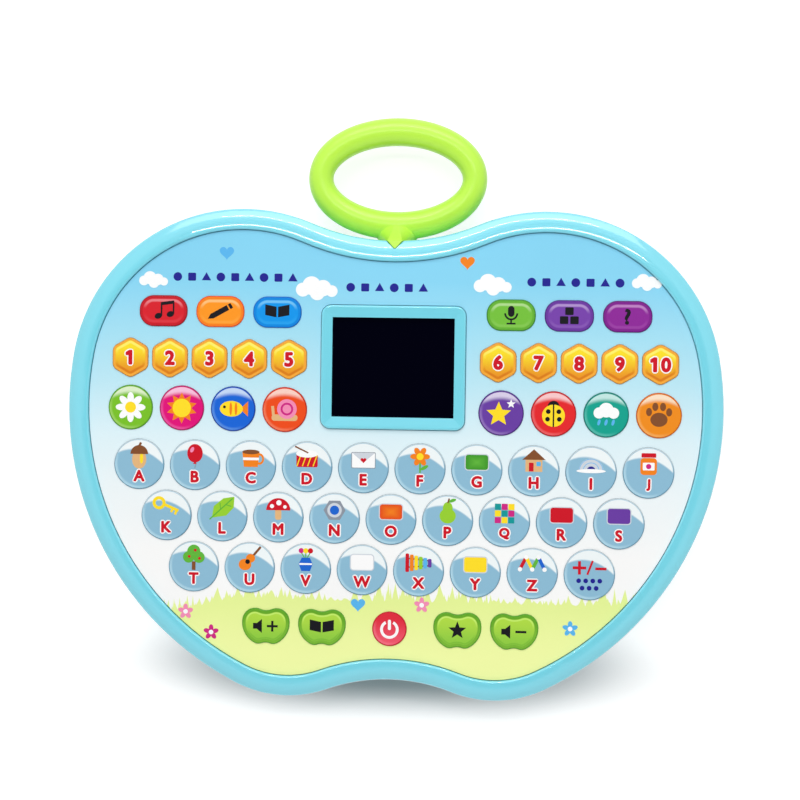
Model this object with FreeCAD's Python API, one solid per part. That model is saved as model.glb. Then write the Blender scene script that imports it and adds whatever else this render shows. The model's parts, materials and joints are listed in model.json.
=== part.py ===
"""Apple-shaped toy learning computer: two moulded half shells, a loop handle and a film keypad.

Lengths are in millimetres. Shapes are drawn in the face frame: its origin is the middle of the top
letter row, +X is to the right, +Y points at the handle, and Z is measured up from the flat back.
Every part is moved along Y when it is saved, so that the saved origin is the bottom centre of the
whole object as it lies on its back.
"""
import FreeCAD
import Part
import math
import os

from FreeCAD import Vector

# Body outline: tangent arcs, mirrored about x = 0
SHOULDER_X = 52.2
SHOULDER_Y = 28.7
SHOULDER_R = 60.0
HIP_X = 35.7
HIP_Y = -39.7
HIP_R = 40.0
SIDE_R = 106.8
TOP_NOTCH_R = 74.5
BOTTOM_NOTCH_R = 61.0

# Shells
BODY_T = 26.0
PARTING_Z = 13.0
WALL = 2.2
BACK_WALL = 2.0
PLATE_T = 2.0
RIM_WIDTH = 7.2
RIM_FLAT = 1.0
RIM_CROWN_R = 10.0
RIM_EDGE_R = 1.0
RIM_INNER_ROUND = 0.8
RIM_STEP = 1.2
BACK_ROUND = 5.0
LIP_T = 1.0
LIP_H = 1.6
LIP_GAP = 0.1
SEAM_CHAMFER = 0.35

# Film keypad, from the face down
FILM_T = 0.4
SPACER_T = 0.6
CIRCUIT_T = 0.2
FILM_GAP = 0.25
SPACER_INSET = 0.8
KEY_GAP = 0.2
SPACER_KEY_GAP = 0.45
KEY_EMBOSS = 0.4
KEY_EDGE_R = 0.3

# Key sizes
LETTER_KEY_D = 17.2
PICTURE_KEY_D = 15.2
POWER_KEY_D = 11.6
MODE_KEY_W = 16.4
MODE_KEY_H = 10.4
MODE_KEY_R = 4.8
NUMBER_KEY_FLATS = 12.2
NUMBER_KEY_R = 2.5
APPLE_KEY_W = 16.2

# Key places: the pitch along a row, the row's height, and how far a side group's middle is from x = 0
LETTER_PITCH = 19.5
LETTER_ROW_STEP = 17.6
LETTER_ROW_COUNTS = (10, 9, 8)
MODE_PITCH = 19.8
MODE_X = 60.0
MODE_Y = 53.1
NUMBER_PITCH = 13.8
NUMBER_X = 63.6
NUMBER_Y = 36.9
PICTURE_PITCH = 17.9
PICTURE_X = 64.1
PICTURE_Y = 19.6
APPLE_NEAR_X = 23.4
APPLE_FAR_X = 42.9
APPLE_Y = -55.4

# Screen
SCREEN_Y = 34.6
OPENING_W = 42.0
OPENING_H = 34.2
BEZEL_SIDE = 3.8
BEZEL_END = 4.15
BEZEL_R = 3.4
BEZEL_EDGE_R = 0.6
BEZEL_FALL = 0.4
BEZEL_LAND = 0.9
WINDOW_DEPTH = 1.8
WINDOW_T = 1.6
WINDOW_LEDGE = 2.0
WINDOW_GAP = 0.1
MATRIX_W = 40.0
MATRIX_H = 32.5
MATRIX_GAP = 0.3
LED_COLUMNS = 10
LED_ROWS = 8
LED_PITCH = 3.8
LED_D = 2.6
LED_DEPTH = 0.4

# Handle
LOOP_HALF_W = 26.85
LOOP_HALF_H = 16.3
LOOP_TUBE_D = 8.6
LOOP_STRETCH = 1.13
LOOP_RISE = 22.1
STEM_ROOT_HALF_W = 11.0
STEM_ROOT_DEPTH = 4.6
STEM_ROOT_FACET = 0.6
STEM_WAIST_HALF_W = 5.8
STEM_WAIST_FRONT = 12.1
STEM_WAIST_BACK = 8.0
STEM_WAIST_FACET = 2.5
STEM_TIP_IN = 2.6
STEM_TIP_HALF_W = 5.0
STEM_TIP_FRONT = 12.25
STEM_TIP_BACK = 10.0
STEM_TIP_FACET = 0.2
NECK_W = 8.0
NECK_H = 10.0
STEM_GAP = 0.15
ANCHOR_W = 20.0
ANCHOR_H = 12.0
ANCHOR_T = 4.5
ANCHOR_GAP = 0.3

# Case screws; a screw's cross slot is given in shares of its head
CASE_SCREW_PLACES = ((52.0, 74.0), (97.0, 12.0), (58.0, -55.0))
CASE_BOSS_D = 8.4
CASE_SCREW_D = 2.9
CASE_SCREW_HEAD_D = 5.6
CASE_SCREW_HEAD_T = 2.2
CASE_SCREW_BITE = 6.5
CASE_SINK_D = 6.6
CASE_SINK_DEPTH = 5.0
BOSS_GAP = 0.1
PILOT_GAP = 0.05
SHANK_GAP = 0.25
PILOT_SPARE = 1.0
SCREW_SLOT_L = 0.66
SCREW_SLOT_W = 0.12
SCREW_SLOT_DEPTH = 0.33

# Main board, hung from the face plate
BOARD_W = 68.0
BOARD_H = 58.0
BOARD_Y = 35.0
BOARD_T = 1.6
BOARD_DROP = 4.0
BOARD_HOLE_INSET = 3.5
BOARD_BOSS_D = 5.0
BOARD_SCREW_D = 2.0
BOARD_SCREW_HEAD_D = 4.4
BOARD_SCREW_HEAD_T = 1.5
BOARD_SCREW_BITE = 3.0
BOARD_PILOT_SPARE = 0.5
CHIP_D = 14.0
CHIP_CROWN = 1.6
CHIP_X = -12.0
CAPACITOR_D = 8.0
CAPACITOR_H = 9.0
CAPACITOR_X = 14.0
CONNECTOR_W = 22.0
CONNECTOR_T = 4.0
CONNECTOR_H = 2.6
TAIL_W = 18.0
TAIL_Y = 10.6
TAIL_BITE = 1.8
TAIL_SLOT_GAP = 0.4
TAIL_PLUG_GAP = 0.05

# Speaker, facing the back
SPEAKER_X = -70.0
SPEAKER_Y = 30.0
SPEAKER_D = 40.0
SPEAKER_SEAT_H = 3.0
SPEAKER_SEAT_T = 3.0
SPEAKER_FLANGE_T = 1.0
BASKET_H = 5.0
BASKET_TOP_D = 25.0
BASKET_WALL = 0.8
BASKET_RIM = 2.0
CONE_T = 0.4
CONE_GAP = 0.4
CONE_NECK_D = 10.0
MAGNET_D = 23.0
MAGNET_H = 5.0
SPEAKER_POST_D = 5.0
SPEAKER_POST_REACH = 3.2
SPEAKER_SCREW_D = 2.0
SPEAKER_SCREW_HEAD_D = 9.0
SPEAKER_SCREW_HEAD_T = 1.2
SPEAKER_SCREW_L = 3.4
SPEAKER_PILOT_SPARE = 0.25
SPEAKER_GAP = 0.3
SPEAKER_SCREW_ANGLES = (90.0, 210.0, 330.0)
TERMINAL_W = 8.0
TERMINAL_T = 1.0
TERMINAL_REACH = 19.0
GRILLE_HOLE_D = 2.2
GRILLE_PITCH = 5.2
GRILLE_RINGS = 2

# Battery bay and its door
CELL_D = 14.5
CELL_L = 50.5
CELL_NUB_D = 5.5
CELL_NUB_L = 1.3
CELL_COUNT = 3
CELL_GAP = 0.7
CELL_LIFT = 0.6
CELL_ROOF_GAP = 0.5
BAY_Y = -28.5
BAY_WALL = 1.5
BAY_SIDE_GAP = 0.3
SPRING_L = 5.0
SPRING_W = 7.0
SPRING_H = 9.0
CONTACT_L = 1.5
CONTACT_T = 0.4
CONTACT_BUMP_D = 4.0
CONTACT_GAP = 0.1
TAB_W = 3.0
TAB_REACH = 1.5
DOOR_T = 1.8
DOOR_SINK = 0.2
DOOR_GAP = 0.3
DOOR_LEDGE_X = 6.5
DOOR_LEDGE_Y = 3.0
DOOR_FRAME = 2.0
DOOR_R = 3.0
DOOR_LEDGE_T = 2.0
DOOR_GRIP_COUNT = 5
DOOR_GRIP_PITCH = 2.4
DOOR_GRIP_W = 1.2
DOOR_GRIP_DEPTH = 0.6
DOOR_GRIP_L = 16.0
DOOR_SCREW_D = 2.4
DOOR_SCREW_HEAD_D = 4.6
DOOR_SCREW_HEAD_T = 1.0
DOOR_SCREW_BITE = 5.0
DOOR_BOSS_D = 6.0

# Leads
LEAD_D = 1.3
LEAD_SPREAD = 3.2
LEAD_BEND_R = 3.0
SPEAKER_LEAD_PAD_X = -29.0
BATTERY_LEAD_PAD_X = 24.0
BATTERY_LEAD_PAD_UP = 3.0
BATTERY_LEAD_RUN = 4.5

# Heights of the stack, worked out from the sizes above
FILM_TOP = BODY_T - RIM_STEP
FILM_BOTTOM = FILM_TOP - FILM_T
SPACER_BOTTOM = FILM_BOTTOM - SPACER_T
PLATE_TOP = SPACER_BOTTOM - CIRCUIT_T
PLATE_BOTTOM = PLATE_TOP - PLATE_T
KEY_TOP = FILM_TOP + KEY_EMBOSS
WINDOW_TOP = BODY_T - WINDOW_DEPTH
WINDOW_BOTTOM = WINDOW_TOP - WINDOW_T
BOARD_TOP = PLATE_BOTTOM - BOARD_DROP
BOARD_BOTTOM = BOARD_TOP - BOARD_T
DOOR_TOP = DOOR_SINK + DOOR_T
CELL_Z = DOOR_TOP + CELL_LIFT + CELL_D / 2
BAY_ROOF_Z = CELL_Z + CELL_D / 2 + CELL_ROOF_GAP
BAY_HALF_L = (CELL_L + SPRING_L + CONTACT_L) / 2
CELL_PITCH = CELL_D + CELL_GAP
BAY_HALF_W = CELL_COUNT * CELL_PITCH / 2 + BAY_SIDE_GAP
DOOR_HALF_L = BAY_HALF_L + DOOR_LEDGE_X
DOOR_HALF_W = BAY_HALF_W + DOOR_LEDGE_Y
DOOR_SCREW_X = BAY_HALF_L + DOOR_LEDGE_X / 2
FLANGE_BOTTOM = BACK_WALL + SPEAKER_SEAT_H
FLANGE_TOP = FLANGE_BOTTOM + SPEAKER_FLANGE_T
BASKET_TOP = FLANGE_TOP + BASKET_H
SPEAKER_SCREW_R = SPEAKER_D / 2 + SPEAKER_POST_REACH
ROOT_Z = BACK_WALL / 2
BEZEL_W = OPENING_W + 2 * BEZEL_SIDE
BEZEL_H = OPENING_H + 2 * BEZEL_END
EDGE_TOLERANCE = 1e-4
CLEAR = 1.0


def flat(x, y):
    """A point of the face frame in the XY plane."""
    return Vector(x, y, 0.0)


def side_centre():
    """Centre of the long side arc, which touches the shoulder and hip arcs from inside."""
    shoulder = flat(SHOULDER_X, SHOULDER_Y)
    hip = flat(HIP_X, HIP_Y)
    to_shoulder = SIDE_R - SHOULDER_R
    to_hip = SIDE_R - HIP_R
    span = (hip - shoulder).Length
    along = (to_shoulder**2 - to_hip**2 + span**2) / (2 * span)
    across = math.sqrt(to_shoulder**2 - along**2)
    axis = (hip - shoulder) * (1 / span)
    return shoulder + axis * along + flat(axis.y, -axis.x) * across


def outline_arcs():
    """(centre, radius, bulge) of each arc, clockwise from the top notch; bulge -1 is hollow."""
    top_y = SHOULDER_Y + math.sqrt((SHOULDER_R + TOP_NOTCH_R) ** 2 - SHOULDER_X**2)
    low_y = HIP_Y - math.sqrt((HIP_R + BOTTOM_NOTCH_R) ** 2 - HIP_X**2)
    side = side_centre()
    right = [
        (flat(SHOULDER_X, SHOULDER_Y), SHOULDER_R, 1),
        (side, SIDE_R, 1),
        (flat(HIP_X, HIP_Y), HIP_R, 1),
    ]
    left = [(flat(-c.x, c.y), r, bulge) for c, r, bulge in reversed(right)]
    top = (flat(0, top_y), TOP_NOTCH_R, -1)
    low = (flat(0, low_y), BOTTOM_NOTCH_R, -1)
    return [top] + right + [low] + left


def meeting_point(one, two):
    """Where two tangent arcs meet."""
    (c1, r1, bulge1), (c2, r2, bulge2) = one, two
    direction = (c2 - c1).normalize()
    if bulge1 == bulge2 and r1 < r2:
        direction = direction * -1
    return c1 + direction * r1


def arc_edge(centre, start, end):
    """The shorter arc about a centre from one point to another."""
    radius = (start - centre).Length
    middle = ((start - centre) + (end - centre)).normalize() * radius
    return Part.Arc(start, centre + middle, end).toShape()


def apple_wire(inset, z, scale=1.0, place=None):
    """The apple outline drawn in by inset; a scaled copy of it is centred on place."""
    middle = flat(0, outline_middle_y())
    if place is None:
        place = middle
    arcs = []
    for centre, radius, bulge in outline_arcs():
        moved = (centre - middle) * scale + place + Vector(0, 0, z)
        arcs.append((moved, radius * scale - bulge * inset, bulge))
    corners = [meeting_point(arcs[i - 1], arcs[i]) for i in range(len(arcs))]
    edges = []
    for i, (centre, _, _) in enumerate(arcs):
        edges.append(arc_edge(centre, corners[i], corners[(i + 1) % len(arcs)]))
    return Part.Wire(edges)


def lobe_bottom_y():
    """Lowest Y of the body."""
    return HIP_Y - HIP_R


def lobe_top_y():
    """Highest Y of the body, without the handle."""
    return SHOULDER_Y + SHOULDER_R


def outline_middle_y():
    """Y halfway up the body."""
    return (lobe_top_y() + lobe_bottom_y()) / 2


def body_half_width():
    """Half of the body's width."""
    return side_centre().x + SIDE_R


def notch_y():
    """Y of the outline at the bottom of the top notch."""
    centre, radius, _ = outline_arcs()[0]
    return centre.y - radius


def loop_y():
    """Y of the middle of the handle's loop."""
    return notch_y() + LOOP_RISE


def anchor_top_y():
    """Y of the anchor plate's face behind the wall."""
    return notch_y() - WALL - ANCHOR_GAP


def loop_top_y():
    """Y of the top of the handle."""
    return loop_y() + LOOP_HALF_H + LOOP_STRETCH * LOOP_TUBE_D / 2


def rounded_box_wire(width, height, radius, x, y, z):
    """A rectangle with rounded corners, centred on (x, y)."""
    dx, dy = width / 2 - radius, height / 2 - radius
    edges = []
    last = None
    first = None
    for sx, sy, turn in ((1, 1, 0), (-1, 1, 90), (-1, -1, 180), (1, -1, 270)):
        centre = Vector(x + sx * dx, y + sy * dy, z)
        ends = []
        for angle in (turn, turn + 90):
            rad = math.radians(angle)
            ends.append(centre + flat(math.cos(rad), math.sin(rad)) * radius)
        if last is None:
            first = ends[0]
        elif (ends[0] - last).Length > EDGE_TOLERANCE:
            edges.append(Part.LineSegment(last, ends[0]).toShape())
        edges.append(arc_edge(centre, ends[0], ends[1]))
        last = ends[1]
    if (first - last).Length > EDGE_TOLERANCE:
        edges.append(Part.LineSegment(last, first).toShape())
    return Part.Wire(edges)


def hexagon_wire(flats, radius, x, y, z):
    """A hexagon that points up and down, with rounded corners."""
    reach = (flats / 2 - radius) / math.cos(math.radians(30))
    edges = []
    points = []
    for k in range(6):
        turn = 90 - 60 * k
        rad = math.radians(turn)
        centre = Vector(x + reach * math.cos(rad), y + reach * math.sin(rad), z)
        ends = []
        for angle in (turn + 30, turn - 30):
            rad = math.radians(angle)
            ends.append(centre + flat(math.cos(rad), math.sin(rad)) * radius)
        points.append((centre, ends))
    for k, (centre, ends) in enumerate(points):
        edges.append(arc_edge(centre, ends[0], ends[1]))
        edges.append(Part.LineSegment(ends[1], points[(k + 1) % 6][1][0]).toShape())
    return Part.Wire(edges)


def prism(wire, height):
    """A solid over a flat closed wire."""
    return Part.Face(wire).extrude(Vector(0, 0, height))


def slab(inset, z0, z1):
    """The apple outline, drawn in by inset, from z0 to z1."""
    return prism(apple_wire(inset, z0), z1 - z0)


def box(x0, x1, y0, y1, z0, z1):
    """A block between two corners."""
    return Part.makeBox(x1 - x0, y1 - y0, z1 - z0, Vector(x0, y0, z0))


def cylinder(x, y, z0, z1, diameter):
    """An upright cylinder."""
    return Part.makeCylinder(diameter / 2, z1 - z0, Vector(x, y, z0))


def turned(x, y, points):
    """A solid of revolution about the upright axis at (x, y), from (radius, z) points."""
    corners = [Vector(x + r, y, z) for r, z in points]
    wire = Part.makePolygon(corners + corners[:1])
    return Part.Face(wire).revolve(flat(x, y), Vector(0, 0, 1), 360)


def level_edges(shape, z):
    """The edges that lie in the plane at height z."""
    found = []
    for edge in shape.Edges:
        low, high = edge.BoundBox.ZMin, edge.BoundBox.ZMax
        if abs(low - z) < EDGE_TOLERANCE and abs(high - z) < EDGE_TOLERANCE:
            found.append(edge)
    return found


def rounded_top(shape, radius):
    """The shape with every edge of its top face rounded."""
    return shape.makeFillet(radius, level_edges(shape, shape.BoundBox.ZMax))


def mirrored_places(places):
    """Each place and its mirror image about x = 0."""
    return [(sign * x, y) for x, y in places for sign in (1, -1)]


def save(node, solids):
    """Writes one node, moved so that the origin is the bottom centre of the whole object."""
    top = loop_top_y()
    shift = flat(0, -(top + lobe_bottom_y()) / 2)
    shape = solids[0] if len(solids) == 1 else Part.makeCompound(solids)
    shape.translated(shift).exportStep(os.path.join("parts", node + ".step"))
    volume = sum(s.Volume for s in solids)
    print(f"{node}: {len(solids)} solid(s), {volume:.1f} mm3, valid {all(s.isValid() for s in solids)}")


def row_places(count, pitch, middle_x, y):
    """Places along a row, left to right."""
    return [(middle_x + (i - (count - 1) / 2) * pitch, y) for i in range(count)]


def key_table():
    """(node, kind, places) of every key node. A row of letter keys shares one node."""
    keys = []
    mode_names = ("red", "orange", "blue", "green", "violet", "magenta")
    mode_places = row_places(3, MODE_PITCH, -MODE_X, MODE_Y) + row_places(3, MODE_PITCH, MODE_X, MODE_Y)
    for name, place in zip(mode_names, mode_places):
        keys.append((f"mode_key_{name}", "mode", [place]))
    number_places = row_places(5, NUMBER_PITCH, -NUMBER_X, NUMBER_Y)
    number_places += row_places(5, NUMBER_PITCH, NUMBER_X, NUMBER_Y)
    for number, place in enumerate(number_places, start=1):
        keys.append((f"number_key_{number}", "number", [place]))
    picture_names = ("green", "pink", "blue", "orange", "purple", "red", "teal", "amber")
    picture_places = row_places(4, PICTURE_PITCH, -PICTURE_X, PICTURE_Y)
    picture_places += row_places(4, PICTURE_PITCH, PICTURE_X, PICTURE_Y)
    for name, place in zip(picture_names, picture_places):
        keys.append((f"picture_key_{name}", "picture", [place]))
    for row, count in enumerate(LETTER_ROW_COUNTS):
        places = row_places(count, LETTER_PITCH, 0.0, -row * LETTER_ROW_STEP)
        if row == len(LETTER_ROW_COUNTS) - 1:
            keys.append(("plus_minus_key", "letter", places[-1:]))
            places = places[:-1]
        keys.append((f"letter_keys_row_{row + 1}", "letter", places))
    apple_names = ("volume_up_key", "book_key", "star_key", "volume_down_key")
    apple_xs = (-APPLE_FAR_X, -APPLE_NEAR_X, APPLE_NEAR_X, APPLE_FAR_X)
    for name, x in zip(apple_names, apple_xs):
        keys.append((name, "apple", [(x, APPLE_Y)]))
    keys.append(("power_key", "power", [(0.0, APPLE_Y)]))
    return keys


def key_wire(kind, x, y, z, grow=0.0):
    """A key's outline at height z, made larger by grow on every side."""
    if kind == "mode":
        return rounded_box_wire(
            MODE_KEY_W + 2 * grow, MODE_KEY_H + 2 * grow, MODE_KEY_R + grow, x, y, z
        )
    if kind == "number":
        return hexagon_wire(NUMBER_KEY_FLATS + 2 * grow, NUMBER_KEY_R + grow, x, y, z)
    if kind == "apple":
        scale = APPLE_KEY_W / (2 * body_half_width())
        return apple_wire(-grow, z, scale, flat(x, y))
    diameter = {"letter": LETTER_KEY_D, "picture": PICTURE_KEY_D, "power": POWER_KEY_D}[kind]
    return Part.Wire(Part.makeCircle(diameter / 2 + grow, Vector(x, y, z)))


def key_solid(kind, x, y):
    """One key: a film zone with an embossed, rounded top."""
    return rounded_top(prism(key_wire(kind, x, y, FILM_BOTTOM), KEY_TOP - FILM_BOTTOM), KEY_EDGE_R)


def key_holes(z0, z1, grow):
    """Every key's outline, made larger by grow, as solids from z0 to z1."""
    return [
        prism(key_wire(kind, x, y, z0, grow), z1 - z0) for _, kind, places in key_table() for x, y in places
    ]


def bezel_block(grow, z0, z1):
    """The screen surround's outline, made larger by grow."""
    wire = rounded_box_wire(
        BEZEL_W + 2 * grow, BEZEL_H + 2 * grow, BEZEL_R + grow, 0.0, SCREEN_Y, z0
    )
    return prism(wire, z1 - z0)


def screen_block(width, height, z0, z1):
    """A plain block centred on the screen."""
    return box(-width / 2, width / 2, SCREEN_Y - height / 2, SCREEN_Y + height / 2, z0, z1)


def screen_surround():
    """The raised frame round the screen, falling towards the opening."""
    block = rounded_top(bezel_block(0.0, PLATE_BOTTOM, BODY_T), BEZEL_EDGE_R)
    fall = []
    for z, width, height in (
        (BODY_T - BEZEL_FALL, OPENING_W, OPENING_H),
        (BODY_T + EDGE_TOLERANCE, BEZEL_W - 2 * BEZEL_LAND, BEZEL_H - 2 * BEZEL_LAND),
    ):
        dx, dy = width / 2, height / 2
        corners = [Vector(sx * dx, SCREEN_Y + sy * dy, z) for sx, sy in ((1, 1), (-1, 1), (-1, -1), (1, -1))]
        fall.append(Part.makePolygon(corners + corners[:1]))
    return block.cut(Part.makeLoft(fall, True, True))


def stem_section(y, half_width, facet, front, back):
    """A six-sided section of the handle's stem, square to Y."""
    corners = [
        Vector(-half_width, y, PARTING_Z),
        Vector(-facet, y, PARTING_Z + front),
        Vector(facet, y, PARTING_Z + front),
        Vector(half_width, y, PARTING_Z),
        Vector(facet, y, PARTING_Z - back),
        Vector(-facet, y, PARTING_Z - back),
    ]
    return Part.makePolygon(corners + corners[:1])


def stem(grow=0.0):
    """The handle's wedge: broad at the body's edge, pointed on the rim, with a neck behind the wall."""
    sections = (
        (loop_y() - LOOP_HALF_H, STEM_ROOT_HALF_W, STEM_ROOT_FACET, STEM_ROOT_DEPTH, STEM_ROOT_DEPTH),
        (notch_y(), STEM_WAIST_HALF_W, STEM_WAIST_FACET, STEM_WAIST_FRONT, STEM_WAIST_BACK),
        (notch_y() - STEM_TIP_IN - grow, STEM_TIP_HALF_W, STEM_TIP_FACET, STEM_TIP_FRONT, STEM_TIP_BACK),
    )
    wires = [stem_section(y, *(size + grow for size in sizes)) for y, *sizes in sections]
    half_w = NECK_W / 2 + grow
    half_h = NECK_H / 2 + grow
    neck = box(-half_w, half_w, anchor_top_y() - CLEAR, notch_y(), PARTING_Z - half_h, PARTING_Z + half_h)
    return Part.makeLoft(wires, True, True).fuse(neck)


def loop_quarters():
    """The oval loop: a round tube on an elliptical line, stretched so that its top and bottom are thicker."""
    line = Part.Ellipse(Vector(0, 0, 0), LOOP_HALF_W, LOOP_HALF_H / LOOP_STRETCH)
    stretch = FreeCAD.Matrix()
    stretch.scale(1.0, LOOP_STRETCH, 1.0)
    quarters = []
    for i in range(4):
        arc = Part.ArcOfEllipse(line, (2 * i - 1) * math.pi / 4, (2 * i + 1) * math.pi / 4).toShape()
        start = arc.FirstParameter
        ring = Part.makeCircle(LOOP_TUBE_D / 2, arc.valueAt(start), arc.tangentAt(start))
        tube = Part.Wire(arc).makePipeShell([Part.Wire(ring)], True, False).transformGeometry(stretch)
        quarters.append(tube.translated(Vector(0, loop_y(), PARTING_Z)))
    return quarters


def carry_handle():
    """The loop, its wedge-shaped stem and the anchor plate held behind the shells' wall."""
    anchor_top = anchor_top_y()
    anchor = box(
        -ANCHOR_W / 2,
        ANCHOR_W / 2,
        anchor_top - ANCHOR_T,
        anchor_top,
        PARTING_Z - ANCHOR_H / 2,
        PARTING_Z + ANCHOR_H / 2,
    )
    return stem().fuse(loop_quarters() + [anchor]).removeSplitter()


def case_bosses(z0, z1, diameter):
    """An upright cylinder at each case screw."""
    return [cylinder(x, y, z0, z1, diameter) for x, y in mirrored_places(CASE_SCREW_PLACES)]


def board_screw_places():
    """The board's four screw holes."""
    dx = BOARD_W / 2 - BOARD_HOLE_INSET
    dy = BOARD_H / 2 - BOARD_HOLE_INSET
    return [(sx * dx, BOARD_Y + sy * dy) for sx in (1, -1) for sy in (1, -1)]


def tail_slot(gap, z0, z1):
    """The strip of film that runs down to the board, made larger by gap on every side."""
    half_w, half_t = TAIL_W / 2 + gap, CIRCUIT_T / 2 + gap
    return box(-half_w, half_w, TAIL_Y - half_t, TAIL_Y + half_t, z0, z1)


def crowned_block():
    """The front half of the body, not yet hollowed; its rim falls in an arc to the side."""
    crown_width = RIM_WIDTH - RIM_FLAT
    crown = rounded_top(slab(crown_width - RIM_CROWN_R, PARTING_Z, BODY_T), RIM_CROWN_R)
    block = crown.common(slab(0.0, PARTING_Z, BODY_T))
    edge_z = BODY_T - RIM_CROWN_R + math.sqrt(RIM_CROWN_R**2 - crown_width**2)
    return block.makeFillet(RIM_EDGE_R, level_edges(block, edge_z))


def front_shell():
    """The front moulding: rim, face plate, screen surround and the bosses behind the plate."""
    shell = crowned_block()
    shell = shell.makeChamfer(SEAM_CHAMFER, level_edges(shell, PARTING_Z))
    shell = shell.cut(slab(RIM_WIDTH, PLATE_TOP, BODY_T + CLEAR))
    inner_edges = [edge for edge in level_edges(shell, BODY_T) if is_on_recess(edge)]
    shell = shell.makeFillet(RIM_INNER_ROUND, inner_edges)
    shell = shell.cut(slab(WALL, PARTING_Z - CLEAR, PLATE_BOTTOM))
    lip_room = slab(WALL - LIP_T - LIP_GAP, PARTING_Z - CLEAR, PARTING_Z + LIP_H + LIP_GAP)
    shell = shell.cut(lip_room)
    added = [screen_surround()]
    added += case_bosses(PARTING_Z + BOSS_GAP, PLATE_BOTTOM, CASE_BOSS_D)
    added += [cylinder(x, y, BOARD_TOP, PLATE_BOTTOM, BOARD_BOSS_D) for x, y in board_screw_places()]
    shell = shell.fuse(added)
    pilot_d = CASE_SCREW_D + 2 * PILOT_GAP
    pilot_top = PARTING_Z + CASE_SCREW_BITE + PILOT_SPARE
    removed = case_bosses(PARTING_Z, pilot_top, pilot_d)
    board_pilot_d = BOARD_SCREW_D + 2 * PILOT_GAP
    board_pilot_top = BOARD_TOP + BOARD_SCREW_BITE + BOARD_PILOT_SPARE
    removed += [cylinder(x, y, BOARD_TOP, board_pilot_top, board_pilot_d) for x, y in board_screw_places()]
    removed.append(screen_block(OPENING_W, OPENING_H, PLATE_BOTTOM - CLEAR, BODY_T + CLEAR))
    removed.append(
        screen_block(
            OPENING_W + 2 * (WINDOW_LEDGE + WINDOW_GAP),
            OPENING_H + 2 * (WINDOW_LEDGE + WINDOW_GAP),
            PLATE_BOTTOM - CLEAR,
            WINDOW_TOP,
        )
    )
    removed.append(tail_slot(TAIL_SLOT_GAP, PLATE_BOTTOM - CLEAR, PLATE_TOP + CLEAR))
    removed.append(stem(STEM_GAP))
    return shell.cut(removed).removeSplitter()


def is_on_recess(edge):
    """Whether an edge lies on the edge of the film's recess."""
    middle = edge.valueAt((edge.FirstParameter + edge.LastParameter) / 2)
    recess = apple_wire(RIM_WIDTH, middle.z)
    return recess.distToShape(Part.Vertex(middle))[0] < EDGE_TOLERANCE


def bay_block(grow, z0, z1):
    """The battery bay's inside, made larger by grow, from z0 to z1."""
    half_l, half_w = BAY_HALF_L + grow, BAY_HALF_W + grow
    return box(-half_l, half_l, BAY_Y - half_w, BAY_Y + half_w, z0, z1)


def door_block(grow, z0, z1):
    """The battery door's outline, made larger by grow."""
    wire = rounded_box_wire(
        2 * (DOOR_HALF_L + grow), 2 * (DOOR_HALF_W + grow), DOOR_R + grow, 0.0, BAY_Y, z0
    )
    return prism(wire, z1 - z0)


def door_screw_places():
    """The door's two screws, one at each end."""
    return [(sign * DOOR_SCREW_X, BAY_Y) for sign in (1, -1)]


def lead_tab_places():
    """(side, y) of the contact tabs that the battery leads start from."""
    half = (CELL_COUNT - 1) / 2 * CELL_PITCH
    return [(1, BAY_Y + half), (-1, BAY_Y + half)]


def lead_tab(side, y, gap, start, end):
    """A flat contact tab through the bay's end wall."""
    x0, x1 = sorted((side * start, side * end))
    half = TAB_W / 2 + gap
    return box(x0, x1, y - half, y + half, CELL_Z - CONTACT_T / 2 - gap, CELL_Z + CONTACT_T / 2 + gap)


def grille_places():
    """Rings of sound holes behind the speaker."""
    places = [(SPEAKER_X, SPEAKER_Y)]
    for ring in range(1, GRILLE_RINGS + 1):
        for k in range(6 * ring):
            turn = math.radians(60 * k / ring)
            reach = ring * GRILLE_PITCH
            places.append((SPEAKER_X + reach * math.cos(turn), SPEAKER_Y + reach * math.sin(turn)))
    return places


def speaker_screw_places():
    """The screws round the speaker's flange."""
    places = []
    for angle in SPEAKER_SCREW_ANGLES:
        turn = math.radians(angle)
        x = SPEAKER_X + SPEAKER_SCREW_R * math.cos(turn)
        y = SPEAKER_Y + SPEAKER_SCREW_R * math.sin(turn)
        places.append((x, y))
    return places


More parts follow.
